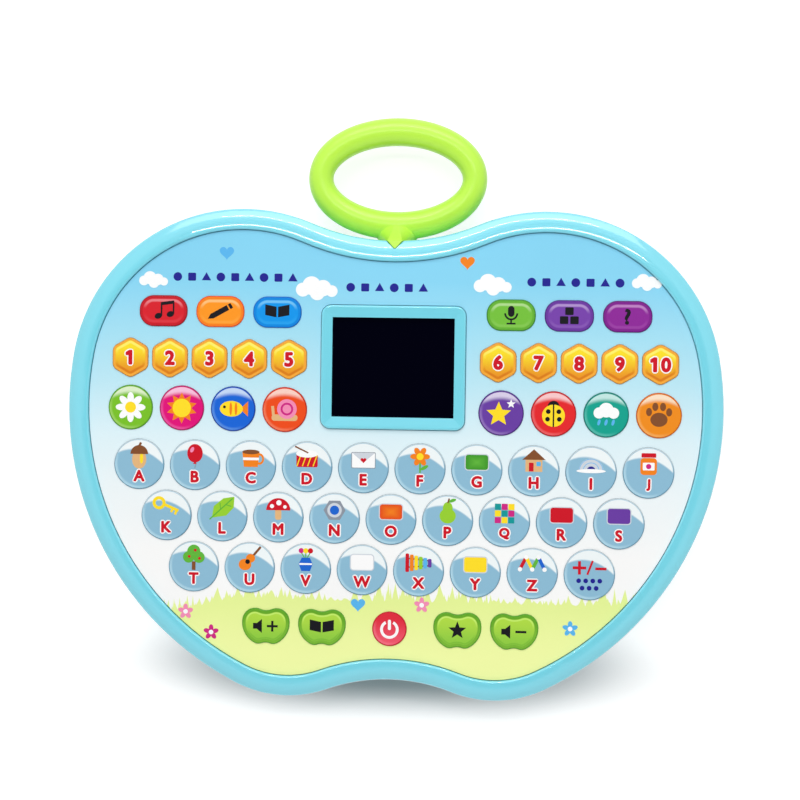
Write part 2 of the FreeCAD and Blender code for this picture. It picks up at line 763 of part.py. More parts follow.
def back_shell():
    """The back moulding: dish, battery bay, screw bosses, speaker seat and sound holes."""
    dish = slab(0.0, 0.0, PARTING_Z)
    dish = dish.makeFillet(BACK_ROUND, level_edges(dish, 0.0))
    dish = dish.makeChamfer(SEAM_CHAMFER, level_edges(dish, PARTING_Z))
    dish = dish.cut(slab(WALL, BACK_WALL, PARTING_Z + CLEAR))
    lip = slab(WALL - LIP_T, PARTING_Z - LIP_H, PARTING_Z + LIP_H)
    lip = lip.cut(slab(WALL, PARTING_Z - LIP_H - CLEAR, PARTING_Z + LIP_H + CLEAR))
    ledge_top = DOOR_TOP + DOOR_LEDGE_T
    seat_r = SPEAKER_D / 2 - SPEAKER_SEAT_T / 2
    seat = cylinder(SPEAKER_X, SPEAKER_Y, ROOT_Z, FLANGE_BOTTOM, 2 * seat_r + SPEAKER_SEAT_T)
    seat = seat.cut(cylinder(SPEAKER_X, SPEAKER_Y, 0.0, BODY_T, 2 * seat_r - SPEAKER_SEAT_T))
    added = [lip, seat]
    added += case_bosses(ROOT_Z, PARTING_Z, CASE_BOSS_D)
    added.append(door_block(DOOR_FRAME, ROOT_Z, ledge_top))
    added.append(bay_block(BAY_WALL, ROOT_Z, BAY_ROOF_Z + BAY_WALL))
    boss_top = DOOR_TOP + DOOR_SCREW_BITE + PILOT_SPARE + BAY_WALL
    added += [cylinder(x, y, ROOT_Z, boss_top, DOOR_BOSS_D) for x, y in door_screw_places()]
    added += [cylinder(x, y, ROOT_Z, FLANGE_TOP, SPEAKER_POST_D) for x, y in speaker_screw_places()]
    shell = dish.fuse(added)
    removed = case_bosses(-CLEAR, CASE_SINK_DEPTH, CASE_SINK_D)
    removed += case_bosses(-CLEAR, PARTING_Z + CLEAR, CASE_SCREW_D + 2 * SHANK_GAP)
    removed.append(door_block(DOOR_GAP, -CLEAR, DOOR_TOP))
    removed.append(bay_block(0.0, -CLEAR, BAY_ROOF_Z))
    pilot_top = DOOR_TOP + DOOR_SCREW_BITE + PILOT_SPARE
    pilot_d = DOOR_SCREW_D + 2 * PILOT_GAP
    removed += [cylinder(x, y, 0.0, pilot_top, pilot_d) for x, y in door_screw_places()]
    speaker_pilot_d = SPEAKER_SCREW_D + 2 * PILOT_GAP
    speaker_pilot_z = FLANGE_TOP - SPEAKER_SCREW_L - SPEAKER_PILOT_SPARE
    for x, y in speaker_screw_places():
        removed.append(cylinder(x, y, speaker_pilot_z, FLANGE_TOP + CLEAR, speaker_pilot_d))
    removed += [cylinder(x, y, -CLEAR, BACK_WALL + CLEAR, GRILLE_HOLE_D) for x, y in grille_places()]
    for side, y in lead_tab_places():
        removed.append(lead_tab(side, y, CONTACT_GAP, BAY_HALF_L - CLEAR, BAY_HALF_L + BAY_WALL + CLEAR))
    removed.append(stem(STEM_GAP))
    flange_room = SPEAKER_D + 2 * SPEAKER_GAP
    removed.append(cylinder(SPEAKER_X, SPEAKER_Y, FLANGE_BOTTOM, FLANGE_TOP + CLEAR, flange_room))
    return shell.cut(removed).removeSplitter()


def graphic_overlay():
    """The printed face film, cut out round the keys and the screen surround."""
    film = slab(RIM_WIDTH + FILM_GAP, FILM_BOTTOM, FILM_TOP)
    holes = key_holes(FILM_BOTTOM - CLEAR, FILM_TOP + CLEAR, KEY_GAP)
    return film.cut(holes + [bezel_block(FILM_GAP, FILM_BOTTOM - CLEAR, FILM_TOP + CLEAR)])


def spacer_film():
    """The spacer under the face film, with a well for each key to travel in."""
    film = slab(RIM_WIDTH + SPACER_INSET, SPACER_BOTTOM, FILM_BOTTOM)
    holes = key_holes(SPACER_BOTTOM - CLEAR, FILM_BOTTOM + CLEAR, SPACER_KEY_GAP)
    return film.cut(holes + [bezel_block(FILM_GAP, SPACER_BOTTOM - CLEAR, FILM_BOTTOM + CLEAR)])


def circuit_film():
    """The contact film on the face plate, with its tail running down to the board."""
    film = slab(RIM_WIDTH + SPACER_INSET, PLATE_TOP, SPACER_BOTTOM)
    film = film.cut(bezel_block(FILM_GAP, PLATE_TOP - CLEAR, SPACER_BOTTOM + CLEAR))
    tail = tail_slot(0.0, BOARD_TOP + CONNECTOR_H - TAIL_BITE, PLATE_TOP + CIRCUIT_T / 2)
    return film.fuse(tail).removeSplitter()


def screen_window():
    """The smoked window, seated from behind."""
    reach = 2 * WINDOW_LEDGE
    return screen_block(OPENING_W + reach, OPENING_H + reach, WINDOW_BOTTOM, WINDOW_TOP)


def led_matrix():
    """The display module on the board, with a well for each lamp."""
    top = WINDOW_BOTTOM - MATRIX_GAP
    block = screen_block(MATRIX_W, MATRIX_H, BOARD_TOP, top)
    wells = []
    for row in range(LED_ROWS):
        row_y = SCREEN_Y + (row - (LED_ROWS - 1) / 2) * LED_PITCH
        for x, y in row_places(LED_COLUMNS, LED_PITCH, 0.0, row_y):
            wells.append(cylinder(x, y, top - LED_DEPTH, top + CLEAR, LED_D))
    return block.cut(wells)


def main_board():
    """The circuit board, with its four screw holes."""
    y0, y1 = BOARD_Y - BOARD_H / 2, BOARD_Y + BOARD_H / 2
    board = box(-BOARD_W / 2, BOARD_W / 2, y0, y1, BOARD_BOTTOM, BOARD_TOP)
    hole_d = BOARD_SCREW_D + 2 * SHANK_GAP
    return board.cut([cylinder(x, y, 0.0, BODY_T, hole_d) for x, y in board_screw_places()])


def controller_chip():
    """The chip under its resin drop, on the board's underside."""
    radius = (CHIP_D**2 / 4 + CHIP_CROWN**2) / (2 * CHIP_CROWN)
    ball = Part.makeSphere(radius, Vector(CHIP_X, BOARD_Y, BOARD_BOTTOM - CHIP_CROWN + radius))
    return ball.common(cylinder(CHIP_X, BOARD_Y, BOARD_BOTTOM - CHIP_CROWN - CLEAR, BOARD_BOTTOM, CHIP_D))


def power_capacitor():
    """The smoothing capacitor, standing on the board's underside."""
    return cylinder(CAPACITOR_X, BOARD_Y, BOARD_BOTTOM - CAPACITOR_H, BOARD_BOTTOM, CAPACITOR_D)


def tail_connector():
    """The socket that the film's tail plugs into."""
    half_w, half_t = CONNECTOR_W / 2, CONNECTOR_T / 2
    top = BOARD_TOP + CONNECTOR_H
    block = box(-half_w, half_w, TAIL_Y - half_t, TAIL_Y + half_t, BOARD_TOP, top)
    return block.cut(tail_slot(TAIL_PLUG_GAP, top - TAIL_BITE - TAIL_PLUG_GAP, top + CLEAR))


def screw(x, y, seat_z, head_d, head_t, shank_d, shank_l, up):
    """A pan-head screw: the head sits on seat_z and the shank points up or down."""
    head_end = seat_z - up * head_t
    shank_end = seat_z + up * shank_l
    head = cylinder(x, y, min(seat_z, head_end), max(seat_z, head_end), head_d)
    shank = cylinder(x, y, min(seat_z, shank_end), max(seat_z, shank_end), shank_d)
    slot_x, slot_y = head_d * SCREW_SLOT_L / 2, head_d * SCREW_SLOT_W / 2
    slot_z = head_t * SCREW_SLOT_DEPTH
    slot = box(x - slot_x, x + slot_x, y - slot_y, y + slot_y, head_end - slot_z, head_end + slot_z)
    return head.fuse(shank).cut([slot, slot.rotated(Vector(x, y, 0), Vector(0, 0, 1), 90)]).removeSplitter()


def case_screws():
    """The screws that hold the two shells together, from the back."""
    length = PARTING_Z - CASE_SINK_DEPTH + CASE_SCREW_BITE
    return [
        screw(x, y, CASE_SINK_DEPTH, CASE_SCREW_HEAD_D, CASE_SCREW_HEAD_T, CASE_SCREW_D, length, 1)
        for x, y in mirrored_places(CASE_SCREW_PLACES)
    ]


def board_screws():
    """The screws that hold the board to the face plate's bosses."""
    length = BOARD_T + BOARD_SCREW_BITE
    return [
        screw(x, y, BOARD_BOTTOM, BOARD_SCREW_HEAD_D, BOARD_SCREW_HEAD_T, BOARD_SCREW_D, length, 1)
        for x, y in board_screw_places()
    ]


def speaker_screws():
    """The wide-headed screws that clamp the speaker's flange."""
    return [
        screw(
            x,
            y,
            FLANGE_TOP,
            SPEAKER_SCREW_HEAD_D,
            SPEAKER_SCREW_HEAD_T,
            SPEAKER_SCREW_D,
            SPEAKER_SCREW_L,
            -1,
        )
        for x, y in speaker_screw_places()
    ]


def speaker_basket():
    """The speaker's pressed frame, with its terminal strip."""
    outer, top = SPEAKER_D / 2, BASKET_TOP_D / 2
    inner = outer - BASKET_RIM
    frame = turned(
        SPEAKER_X,
        SPEAKER_Y,
        [
            (inner, FLANGE_BOTTOM),
            (outer, FLANGE_BOTTOM),
            (outer, FLANGE_TOP),
            (inner + BASKET_WALL, FLANGE_TOP),
            (top, BASKET_TOP - BASKET_WALL),
            (top, BASKET_TOP),
            (CONE_NECK_D / 2, BASKET_TOP),
            (CONE_NECK_D / 2, BASKET_TOP - BASKET_WALL),
            (top - BASKET_WALL, BASKET_TOP - BASKET_WALL),
            (inner, FLANGE_TOP),
        ],
    )
    z = (FLANGE_TOP + BASKET_TOP) / 2
    strip = box(
        SPEAKER_X + top,
        SPEAKER_X + TERMINAL_REACH,
        SPEAKER_Y - TERMINAL_W / 2,
        SPEAKER_Y + TERMINAL_W / 2,
        z - TERMINAL_T / 2,
        z + TERMINAL_T / 2,
    )
    hollow = turned(
        SPEAKER_X,
        SPEAKER_Y,
        [
            (0, FLANGE_TOP),
            (inner, FLANGE_TOP),
            (top - BASKET_WALL, BASKET_TOP - BASKET_WALL),
            (0, BASKET_TOP),
        ],
    )
    return frame.fuse(strip.cut(hollow)).removeSplitter()


def speaker_cone():
    """The paper cone, glued inside the frame's rim."""
    rim = SPEAKER_D / 2 - BASKET_RIM - CONE_GAP / 4
    neck = CONE_NECK_D / 2 - CONE_GAP
    top = BASKET_TOP - BASKET_WALL - CONE_GAP
    return turned(
        SPEAKER_X,
        SPEAKER_Y,
        [
            (0, top - CONE_T),
            (neck, top - CONE_T),
            (rim - 2 * CONE_T, FLANGE_BOTTOM),
            (rim, FLANGE_BOTTOM),
            (rim, FLANGE_BOTTOM + CONE_T),
            (rim - CONE_T, FLANGE_BOTTOM + CONE_T),
            (neck, top),
            (0, top),
        ],
    )


def speaker_magnet():
    """The magnet on the back of the frame."""
    return cylinder(SPEAKER_X, SPEAKER_Y, BASKET_TOP, BASKET_TOP + MAGNET_H, MAGNET_D)


def cell_rows():
    """(y, nub side) of each cell; neighbours point opposite ways."""
    rows = []
    for i in range(CELL_COUNT):
        y = BAY_Y + ((CELL_COUNT - 1) / 2 - i) * CELL_PITCH
        rows.append((y, 1 if i % 2 == 0 else -1))
    return rows


def battery_cells():
    """The AA cells, lying along X."""
    cells = []
    for y, side in cell_rows():
        nub_end = side * (BAY_HALF_L - CONTACT_L)
        along = Vector(-side, 0, 0)
        nub = Part.makeCylinder(CELL_NUB_D / 2, CELL_NUB_L, Vector(nub_end, y, CELL_Z), along)
        shoulder = Vector(nub_end - side * CELL_NUB_L, y, CELL_Z)
        can = Part.makeCylinder(CELL_D / 2, CELL_L - CELL_NUB_L, shoulder, along)
        cells.append(can.fuse(nub).removeSplitter())
    return cells


def battery_contacts():
    """The plain contacts at the cells' nub ends; the first carries a tab for its lead."""
    contacts = []
    half_w, half_h = SPRING_W / 2, SPRING_H / 2
    for i, (y, side) in enumerate(cell_rows()):
        wall = side * BAY_HALF_L
        x0, x1 = sorted((wall, wall - side * CONTACT_T))
        plate = box(x0, x1, y - half_w, y + half_w, CELL_Z - half_h, CELL_Z + half_h)
        bump_l = CONTACT_L - CONTACT_GAP
        bump = Part.makeCylinder(CONTACT_BUMP_D / 2, bump_l, Vector(wall, y, CELL_Z), Vector(-side, 0, 0))
        extra = [bump]
        if i == 0:
            extra.append(lead_tab(side, y, 0.0, BAY_HALF_L - CONTACT_T, BAY_HALF_L + BAY_WALL + TAB_REACH))
        contacts.append(plate.fuse(extra).removeSplitter())
    return contacts


def battery_springs():
    """The folded leaf springs at the cells' flat ends; the first carries a tab for its lead."""
    springs = []
    reach = SPRING_L - CONTACT_GAP
    half_w, half_h = SPRING_W / 2, SPRING_H / 2
    bend = reach / 2
    for i, (y, side) in enumerate(cell_rows()):
        wall = -side * BAY_HALF_L
        low, high = CELL_Z - half_h + bend, CELL_Z + half_h
        x0, x1 = sorted((wall, wall + side * reach))
        upright = box(x0, x1, y - half_w, y + half_w, low, high)
        middle = Vector((x0 + x1) / 2, y - half_w, low)
        fold = Part.makeCylinder(bend, SPRING_W, middle, Vector(0, 1, 0))
        room = box(x0 + CONTACT_T, x1 - CONTACT_T, y - SPRING_W, y + SPRING_W, low, high + CLEAR)
        middle_room = Vector(middle.x, y - SPRING_W, low)
        fold_room = Part.makeCylinder(bend - CONTACT_T, 2 * SPRING_W, middle_room, Vector(0, 1, 0))
        leaf = upright.fuse(fold).cut([room, fold_room])
        if i == 0:
            tab = lead_tab(-side, y, 0.0, BAY_HALF_L - CONTACT_T, BAY_HALF_L + BAY_WALL + TAB_REACH)
            leaf = leaf.fuse(tab)
        springs.append(leaf.removeSplitter())
    return springs


def battery_door():
    """The door over the cells, with finger grooves and two screw holes."""
    door = door_block(0.0, DOOR_SINK, DOOR_TOP)
    removed = []
    for i in range(DOOR_GRIP_COUNT):
        y = BAY_Y + (i - (DOOR_GRIP_COUNT - 1) / 2) * DOOR_GRIP_PITCH
        half_l, half_w = DOOR_GRIP_L / 2, DOOR_GRIP_W / 2
        removed.append(box(-half_l, half_l, y - half_w, y + half_w, 0.0, DOOR_SINK + DOOR_GRIP_DEPTH))
    for x, y in door_screw_places():
        removed.append(cylinder(x, y, 0.0, DOOR_SINK + DOOR_SCREW_HEAD_T, DOOR_SCREW_HEAD_D + 2 * SHANK_GAP))
        removed.append(cylinder(x, y, 0.0, BODY_T, DOOR_SCREW_D + 2 * PILOT_GAP))
    return door.cut(removed)


def battery_door_screws():
    """The door's two captive screws."""
    seat = DOOR_SINK + DOOR_SCREW_HEAD_T
    length = DOOR_TOP - seat + DOOR_SCREW_BITE
    return [
        screw(x, y, seat, DOOR_SCREW_HEAD_D, DOOR_SCREW_HEAD_T, DOOR_SCREW_D, length, 1)
        for x, y in door_screw_places()
    ]


def lead(points, bend_r):
    """A round wire along straight runs joined by tangent arcs."""
    edges = []
    start = points[0]
    for before, corner, after in zip(points, points[1:], points[2:]):
        back = (before - corner).normalize()
        onward = (after - corner).normalize()
        half_turn = back.getAngle(onward) / 2
        reach = bend_r / math.tan(half_turn)
        centre = corner + (back + onward).normalize() * (bend_r / math.sin(half_turn))
        bend_start, bend_end = corner + back * reach, corner + onward * reach
        edges.append(Part.LineSegment(start, bend_start).toShape())
        edges.append(arc_edge(centre, bend_start, bend_end))
        start = bend_end
    edges.append(Part.LineSegment(start, points[-1]).toShape())
    path = Part.Wire(edges)
    ring = Part.Wire(Part.makeCircle(LEAD_D / 2, points[0], points[1] - points[0]))
    wire = path.makePipeShell([ring], True, False)
    expected = math.pi * LEAD_D**2 / 4 * path.Length
    print(f"lead: bend radius {bend_r}, volume {wire.Volume:.2f} of {expected:.2f} mm3")
    return wire


def speaker_leads():
    """Two wires from the speaker's terminal strip up to the board."""
    z = (FLANGE_TOP + BASKET_TOP) / 2
    wires = []
    for side in (1, -1):
        y = SPEAKER_Y + side * LEAD_SPREAD / 2
        start = Vector(SPEAKER_X + TERMINAL_REACH, y, z)
        corner = Vector(SPEAKER_LEAD_PAD_X, y, z)
        wires.append(lead([start, corner, Vector(SPEAKER_LEAD_PAD_X, y, BOARD_BOTTOM)], LEAD_BEND_R))
    return wires


def battery_leads():
    """Two wires from the battery contacts' tabs, round the bay's corners, up to the board."""
    wires = []
    tab_end = BAY_HALF_L + BAY_WALL + TAB_REACH
    run_x = tab_end + BATTERY_LEAD_RUN
    pad_y = BOARD_Y - BOARD_H / 2 + BATTERY_LEAD_PAD_UP
    for side, y in lead_tab_places():
        points = [
            Vector(side * tab_end, y, CELL_Z),
            Vector(side * run_x, y, CELL_Z),
            Vector(side * run_x, pad_y, CELL_Z),
            Vector(side * BATTERY_LEAD_PAD_X, pad_y, CELL_Z),
            Vector(side * BATTERY_LEAD_PAD_X, pad_y, BOARD_BOTTOM),
        ]
        wires.append(lead(points, LEAD_BEND_R))
    return wires


def main():
    """Builds and saves every node."""
    os.makedirs("parts", exist_ok=True)
    single = [
        front_shell,
        back_shell,
        carry_handle,
        graphic_overlay,
        spacer_film,
        circuit_film,
        screen_window,
        led_matrix,
        main_board,
        controller_chip,
        power_capacitor,
        tail_connector,
        speaker_basket,
        speaker_cone,
        speaker_magnet,
        battery_door,
    ]
    for make in single:
        save(make.__name__, [make()])
    groups = [
        case_screws,
        board_screws,
        speaker_screws,
        battery_cells,
        battery_contacts,
        battery_springs,
        battery_door_screws,
        speaker_leads,
        battery_leads,
    ]
    for make in groups:
        save(make.__name__, make())
    for node, kind, places in key_table():
        save(node, [key_solid(kind, x, y) for x, y in places])


main()
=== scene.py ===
"""Looks of the apple-shaped toy learning computer, laid out as a Blender add-on.

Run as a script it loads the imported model, prints the face film and the keys, gives every piece its
material and sets the stage. Lengths in the tables are millimetres in the face frame: its origin is the
middle of the top letter row at the height of the face film, +X is right and +Y points at the handle.
"""
import json
import math

import bpy
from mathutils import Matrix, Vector
from mathutils.geometry import delaunay_2d_cdt


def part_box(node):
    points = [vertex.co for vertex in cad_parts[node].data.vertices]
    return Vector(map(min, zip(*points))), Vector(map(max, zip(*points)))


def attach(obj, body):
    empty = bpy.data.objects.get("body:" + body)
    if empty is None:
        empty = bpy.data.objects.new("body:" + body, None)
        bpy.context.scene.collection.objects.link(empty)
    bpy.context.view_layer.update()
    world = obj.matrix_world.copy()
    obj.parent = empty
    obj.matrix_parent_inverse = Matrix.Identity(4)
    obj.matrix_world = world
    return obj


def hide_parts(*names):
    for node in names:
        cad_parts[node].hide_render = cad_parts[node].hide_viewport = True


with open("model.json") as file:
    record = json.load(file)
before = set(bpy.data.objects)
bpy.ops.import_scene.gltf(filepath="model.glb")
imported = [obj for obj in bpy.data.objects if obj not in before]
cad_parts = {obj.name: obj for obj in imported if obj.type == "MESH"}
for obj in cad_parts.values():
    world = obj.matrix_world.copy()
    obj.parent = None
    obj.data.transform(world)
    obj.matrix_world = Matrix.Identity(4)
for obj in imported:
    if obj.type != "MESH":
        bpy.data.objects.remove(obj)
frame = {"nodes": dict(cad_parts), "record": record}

bl_info = {
    "name": "Toy Learning Computer Looks",
    "version": (1, 0, 0),
    "blender": (4, 5, 0),
    "location": "View3D > Sidebar > Toy",
    "description": "Materials, printed keys and stage for an apple-shaped toy learning computer",
    "category": "Object",
}

MM = 0.001

# Key caps, in millimetres: the round of the top edge, the rings inside it, and how far the cap is spread.
KEY_EDGE = 0.3
KEY_RINGS = (0.6, 0.9, 1.2, 1.6, 2.0, 2.5)
KEY_SPREAD = 0.15

# Ink, in millimetres: the first layer's height over the key and the step between layers.
INK_LIFT = 0.012
INK_STEP = 0.006

# Lettering and signs, in millimetres.
LETTER_H = 4.1
LETTER_Y = -4.1
FIGURE_H = 5.2
FIGURE_STEP = 3.7
FIGURE_BOLD = 0.35
TEXT_BOLD = 0.25
TEXT_EDGE = 0.4
SIGN_H = 5.0
TOKEN_PITCH = 4.0
HEART_W = 5.0

# Sizes of drawings against the size they are drawn at.
SIGN_SCALE = 1.1
TOKEN_SCALE = 1.25

# Counts of points and steps on curves.
ROUNDING_STEPS = 4
CIRCLE_POINTS = 72
CORNER_POINTS = 6
HEART_POINTS = 48
TEXT_STEPS = 4
GROW_STEPS = 10

# Small measures for meshes: corners at one height in metres, the least face kept of a character at its
# font's own size, and the gap in millimetres at which corners are joined.
SAME_HEIGHT = 1e-6
GLYPH_SLIVER = 2e-4
JOIN_GAP = 1e-5

# The width of the heart's formula in its own units.
HEART_SPAN = 32

# The way of joining outlines that keeps only what lies inside them.
KEEP_INSIDE = 1

# A bold figure one, a unit high about its middle.
FIGURE_ONE = (
    (0.08, -0.5),
    (0.08, 0.5),
    (-0.06, 0.5),
    (-0.3, 0.36),
    (-0.3, 0.2),
    (-0.08, 0.29),
    (-0.08, -0.5),
)

# Finishes: display colours, shares from 0 to 1, scales of noise, and the depth of pores in metres.
WHITE = (252, 252, 252)
PURE_WHITE = (1.0, 1.0, 1.0, 1.0)
FILM_GLOSS = 0.2
PRINT_GRAIN = 0.05
MOULD_GRAIN = 0.15
MOULD_WAVES = 28.0
MOULD_PORES = 1400.0
MOULD_PORE_DEPTH = 0.00004
SHADE_SWING = 0.06
ROUGH_SWING = 0.1
STREAK_SCALE = (3000.0, 120.0, 120.0)
STREAK_SWING = 0.2
STREAK_GRAIN = 0.1
METAL_CLASSES = ("brushed_steel", "cast_iron")
METAL_ROUGHNESS = 0.35
INNER_ROUGHNESS = 0.45
BOARD_ROUGHNESS = 0.4
HANDLE_ROUGHNESS = 0.3
WINDOW_COLOUR = (2, 2, 14)
WINDOW_ROUGHNESS = 0.08
WINDOW_GRAIN = 0.02
WINDOW_GLOSS = 0.015

# The film's print, in millimetres of the face frame. A sky stop is a height and its colour. A row of grass
# is the pitch, the height and the shift of its blades. Clouds have a size against the one drawn.
SKY_STOPS = (
    (-30.0, (248, 248, 247)),
    (-8.0, (236, 244, 246)),
    (10.0, (220, 240, 246)),
    (30.0, (186, 229, 242)),
    (46.0, (164, 222, 241)),
    (64.0, (136, 211, 240)),
    (84.0, (132, 210, 240)),
)
MEADOW_Y = -46.0
MEADOW_DIP = -7.0
MEADOW_DIP_START = -50.0
MEADOW_DIP_END = -85.0
MEADOW_BLUR = 0.25
MEADOW_FADE = (-40.0, -66.0)
MEADOW_TOP = (226, 242, 150)
MEADOW_FOOT = (240, 249, 166)
GRASS_ROWS = ((2.3, 5.0, 0.0), (3.7, 7.0, 11.0), (1.3, 3.0, 5.0))
GRASS_BEND = 6.0
GRASS_BEND_SCALE = 0.11
GRASS_PATCH_SCALE = 0.05
GRASS_PATCH = (0.35, 0.65)
GRASS_TAPER = 1.6
CLOUDS = ((-27.5, 61.0, 1.0), (33.0, 63.0, 0.9), (-84.0, 63.5, 0.7), (85.5, 64.5, 0.7))
CLOUD_PUFFS = ((-4.0, 0.0, 2.4), (-1.0, 1.4, 3.2), (3.0, 0.6, 2.8), (6.0, -0.4, 2.0), (1.0, -1.0, 2.6))
BLOSSOMS = (
    (-71.0, -51.0, "pink"),
    (-62.0, -58.0, "magenta"),
    (62.0, -54.0, "sky"),
    (11.0, -47.0, "pink"),
)
HEARTS = ((-58.0, 73.5, "sky"), (25.0, 71.0, "orange"), (-11.0, -47.2, "sky"))
TOKEN_ROWS = ((-55.0, 65.0, 9), (-2.5, 62.0, 6), (62.0, 64.5, 7))

# The camera, in millimetres from the face frame's origin and in degrees.
CAMERA_PLACE = (44.37, 40.93, 647.18)
CAMERA_TURN = (-1.484, 3.721, 0.812)
SENSOR_W = 36.0

# Lamps, in metres: the setting with the power, the place, the aim, the size, and whether gloss mirrors it.
CENTRE = (0.0, 0.0, 0.0)
RIM_TOP = (0.0, 0.05, 0.0)
LAMPS = (
    ("top_light", (0.0, 0.84, 1.8), CENTRE, (2.4, 1.0), False),
    ("back_light", (0.0, 1.7, 1.2), CENTRE, (2.4, 0.8), True),
    ("strip_light", (0.0, 0.6, 0.54), RIM_TOP, (0.5, 0.008), True),
    ("strip_light", (0.0, 0.237, 0.754), RIM_TOP, (0.5, 0.008), True),
    ("low_light", (0.0, -1.0, 0.6), CENTRE, (1.2, 0.5), False),
)

# The floor, in metres. Its glow fades out over an oval at the object's lower edge, which leaves a painted
# shadow there, over the shadow that the lamps cast.
FLOOR_W = 6.0
FLOOR_DROP = 0.0002
FLOOR_COLOUR = (190, 192, 192)
FLOOR_ROUGHNESS = 0.8
FLOOR_GLOSS = 0.1
FLOOR_GLOW = 0.7
SHADE_Y = -0.094
SHADE_SQUASH = 0.18
SHADE_NEAR = 0.005
SHADE_FAR = 0.022

# Upward share of a direction between which the background goes from its own light to white.
OVERHEAD = (0.96, 0.82)

LETTER_ROWS = ("ABCDEFGHIJ", "KLMNOPQRS", "TUVWXYZ")
NUMBER_KEYS = 10
MODE_COLOURS = {
    "red": ((214, 33, 45), (164, 20, 34)),
    "orange": ((250, 150, 34), (236, 84, 30)),
    "blue": ((12, 148, 232), (8, 104, 196)),
    "green": ((116, 190, 60), (66, 140, 40)),
    "violet": ((118, 66, 168), (84, 40, 132)),
    "magenta": ((140, 40, 150), (100, 22, 116)),
}
KEY_SHARES = {
    "Line Width": 0.0,
    "Border Width": 0.5,
    "Inner Width": 0.001,
    "Glow Width": 1.2,
    "Glow Strength": 0.0,
    "Cap Reach": 2.0,
    "Cap Curve": 0.0,
    "Cap Lean": 0.0,
    "Cap Blur": 0.1,
}
KEY_COLOURS = ("Face", "Foot", "Border", "Border Top", "Line", "Inner", "Inner Foot", "Cap", "Glow")
PICTURE_COLOURS = {
    "green": ((120, 190, 40), (86, 150, 30)),
    "pink": ((222, 14, 120), (176, 6, 96)),
    "blue": ((24, 100, 212), (16, 64, 160)),
    "orange": ((236, 76, 26), (196, 44, 16)),
    "purple": ((104, 62, 160), (76, 40, 124)),
    "red": ((226, 40, 44), (180, 18, 28)),
    "teal": ((20, 160, 140), (10, 118, 108)),
    "amber": ((238, 140, 30), (206, 98, 14)),
}


def linear(red, green, blue):
    """Scene-linear RGBA of an 8-bit display colour."""
    channels = []
    for value in (red, green, blue):
        share = value / 255
        channels.append(share / 12.92 if share <= 0.04045 else ((share + 0.055) / 1.055) ** 2.4)
    return (*channels, 1.0)


INK = {
    "white": (250, 250, 250),
    "red": (204, 20, 38),
    "navy": (34, 34, 140),
    "black": (20, 20, 26),
    "orange": (242, 130, 30),
    "yellow": (252, 220, 40),
    "lime": (150, 205, 50),
    "green": (96, 180, 60),
    "leaf": (60, 146, 40),
    "ember": (226, 74, 24),
    "teal": (20, 150, 150),
    "sky": (90, 180, 235),
    "blue": (30, 100, 205),
    "purple": (105, 60, 160),
    "magenta": (205, 40, 130),
    "pink": (242, 140, 180),
    "brown": (130, 78, 44),
    "tan": (226, 180, 126),
    "grey": (140, 148, 160),
    "silver": (205, 212, 220),
}


def face_origin():
    """The face frame's origin in the row frame, in metres."""
    low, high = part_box("letter_keys_row_1")
    film_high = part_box("graphic_overlay")[1]
    return Vector(((low.x + high.x) / 2, (low.y + high.y) / 2, film_high.z))


def node_centre(node):
    """The middle of a node's top, in metres."""
    low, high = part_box(node)
    return Vector(((low.x + high.x) / 2, (low.y + high.y) / 2, high.z))


class ToySurfaceSettings(bpy.types.PropertyGroup):
    """Colours and finishes of the case and the keys."""

    shell_colour: bpy.props.FloatVectorProperty(
        name="Shell Colour",
        description="Colour of the two moulded shells and the battery door",
        subtype="COLOR",
        size=4,
        min=0.0,
        max=1.0,
        default=linear(116, 217, 235),
    )
    handle_colour: bpy.props.FloatVectorProperty(
        name="Handle Colour",
        description="Colour of the loop handle",
        subtype="COLOR",
        size=4,
        min=0.0,
        max=1.0,
        default=linear(190, 243, 72),
    )
    shell_roughness: bpy.props.FloatProperty(
        name="Shell Roughness",
        description="Roughness of the shells' gloss plastic",
        subtype="FACTOR",
        min=0.0,
        max=1.0,
        default=0.24,
    )
    film_roughness: bpy.props.FloatProperty(
        name="Film Roughness",
        description="Roughness of the printed film and the keys",
        subtype="FACTOR",
        min=0.0,
        max=1.0,
        default=0.32,
    )


class ToyStageSettings(bpy.types.PropertyGroup):
    """Camera and light."""

    lens: bpy.props.FloatProperty(
        name="Lens",
        description="Focal length of the camera",
        subtype="DISTANCE_CAMERA",
        min=10.0,
        default=85.0,
    )
    top_light: bpy.props.FloatProperty(
        name="Top Light",
        description="Power of the large soft light high on the handle's side",
        unit="POWER",
        min=0.0,
        default=17.3,
    )
    strip_light: bpy.props.FloatProperty(
        name="Strip Light",
        description="Power of each of the two narrow lights that draw lines along the rim",
        unit="POWER",
        min=0.0,
        default=0.6,
    )
    back_light: bpy.props.FloatProperty(
        name="Back Light",
        description="Power of the soft light that stands low beyond the handle",
        unit="POWER",
        min=0.0,
        default=12.0,
    )
    low_light: bpy.props.FloatProperty(
        name="Low Light",
        description="Power of the soft light on the side away from the handle",
        unit="POWER",
        min=0.0,
        default=2.4,
    )
    sky_strength: bpy.props.FloatProperty(
        name="Sky Strength",
        description="Strength of the white light from overhead",
        min=0.0,
        default=0.27,
    )
    horizon_strength: bpy.props.FloatProperty(
        name="Horizon Strength",
        description="Strength of the white light from low down, all round",
        min=0.0,
        default=0.52,
    )


def new_material(name):
    """An empty node material, its tree and its output node."""
    material = bpy.data.materials.new(name)
    material.use_nodes = True
    tree = material.node_tree
    tree.nodes.clear()
    output = tree.nodes.new("ShaderNodeOutputMaterial")
    return material, tree, output


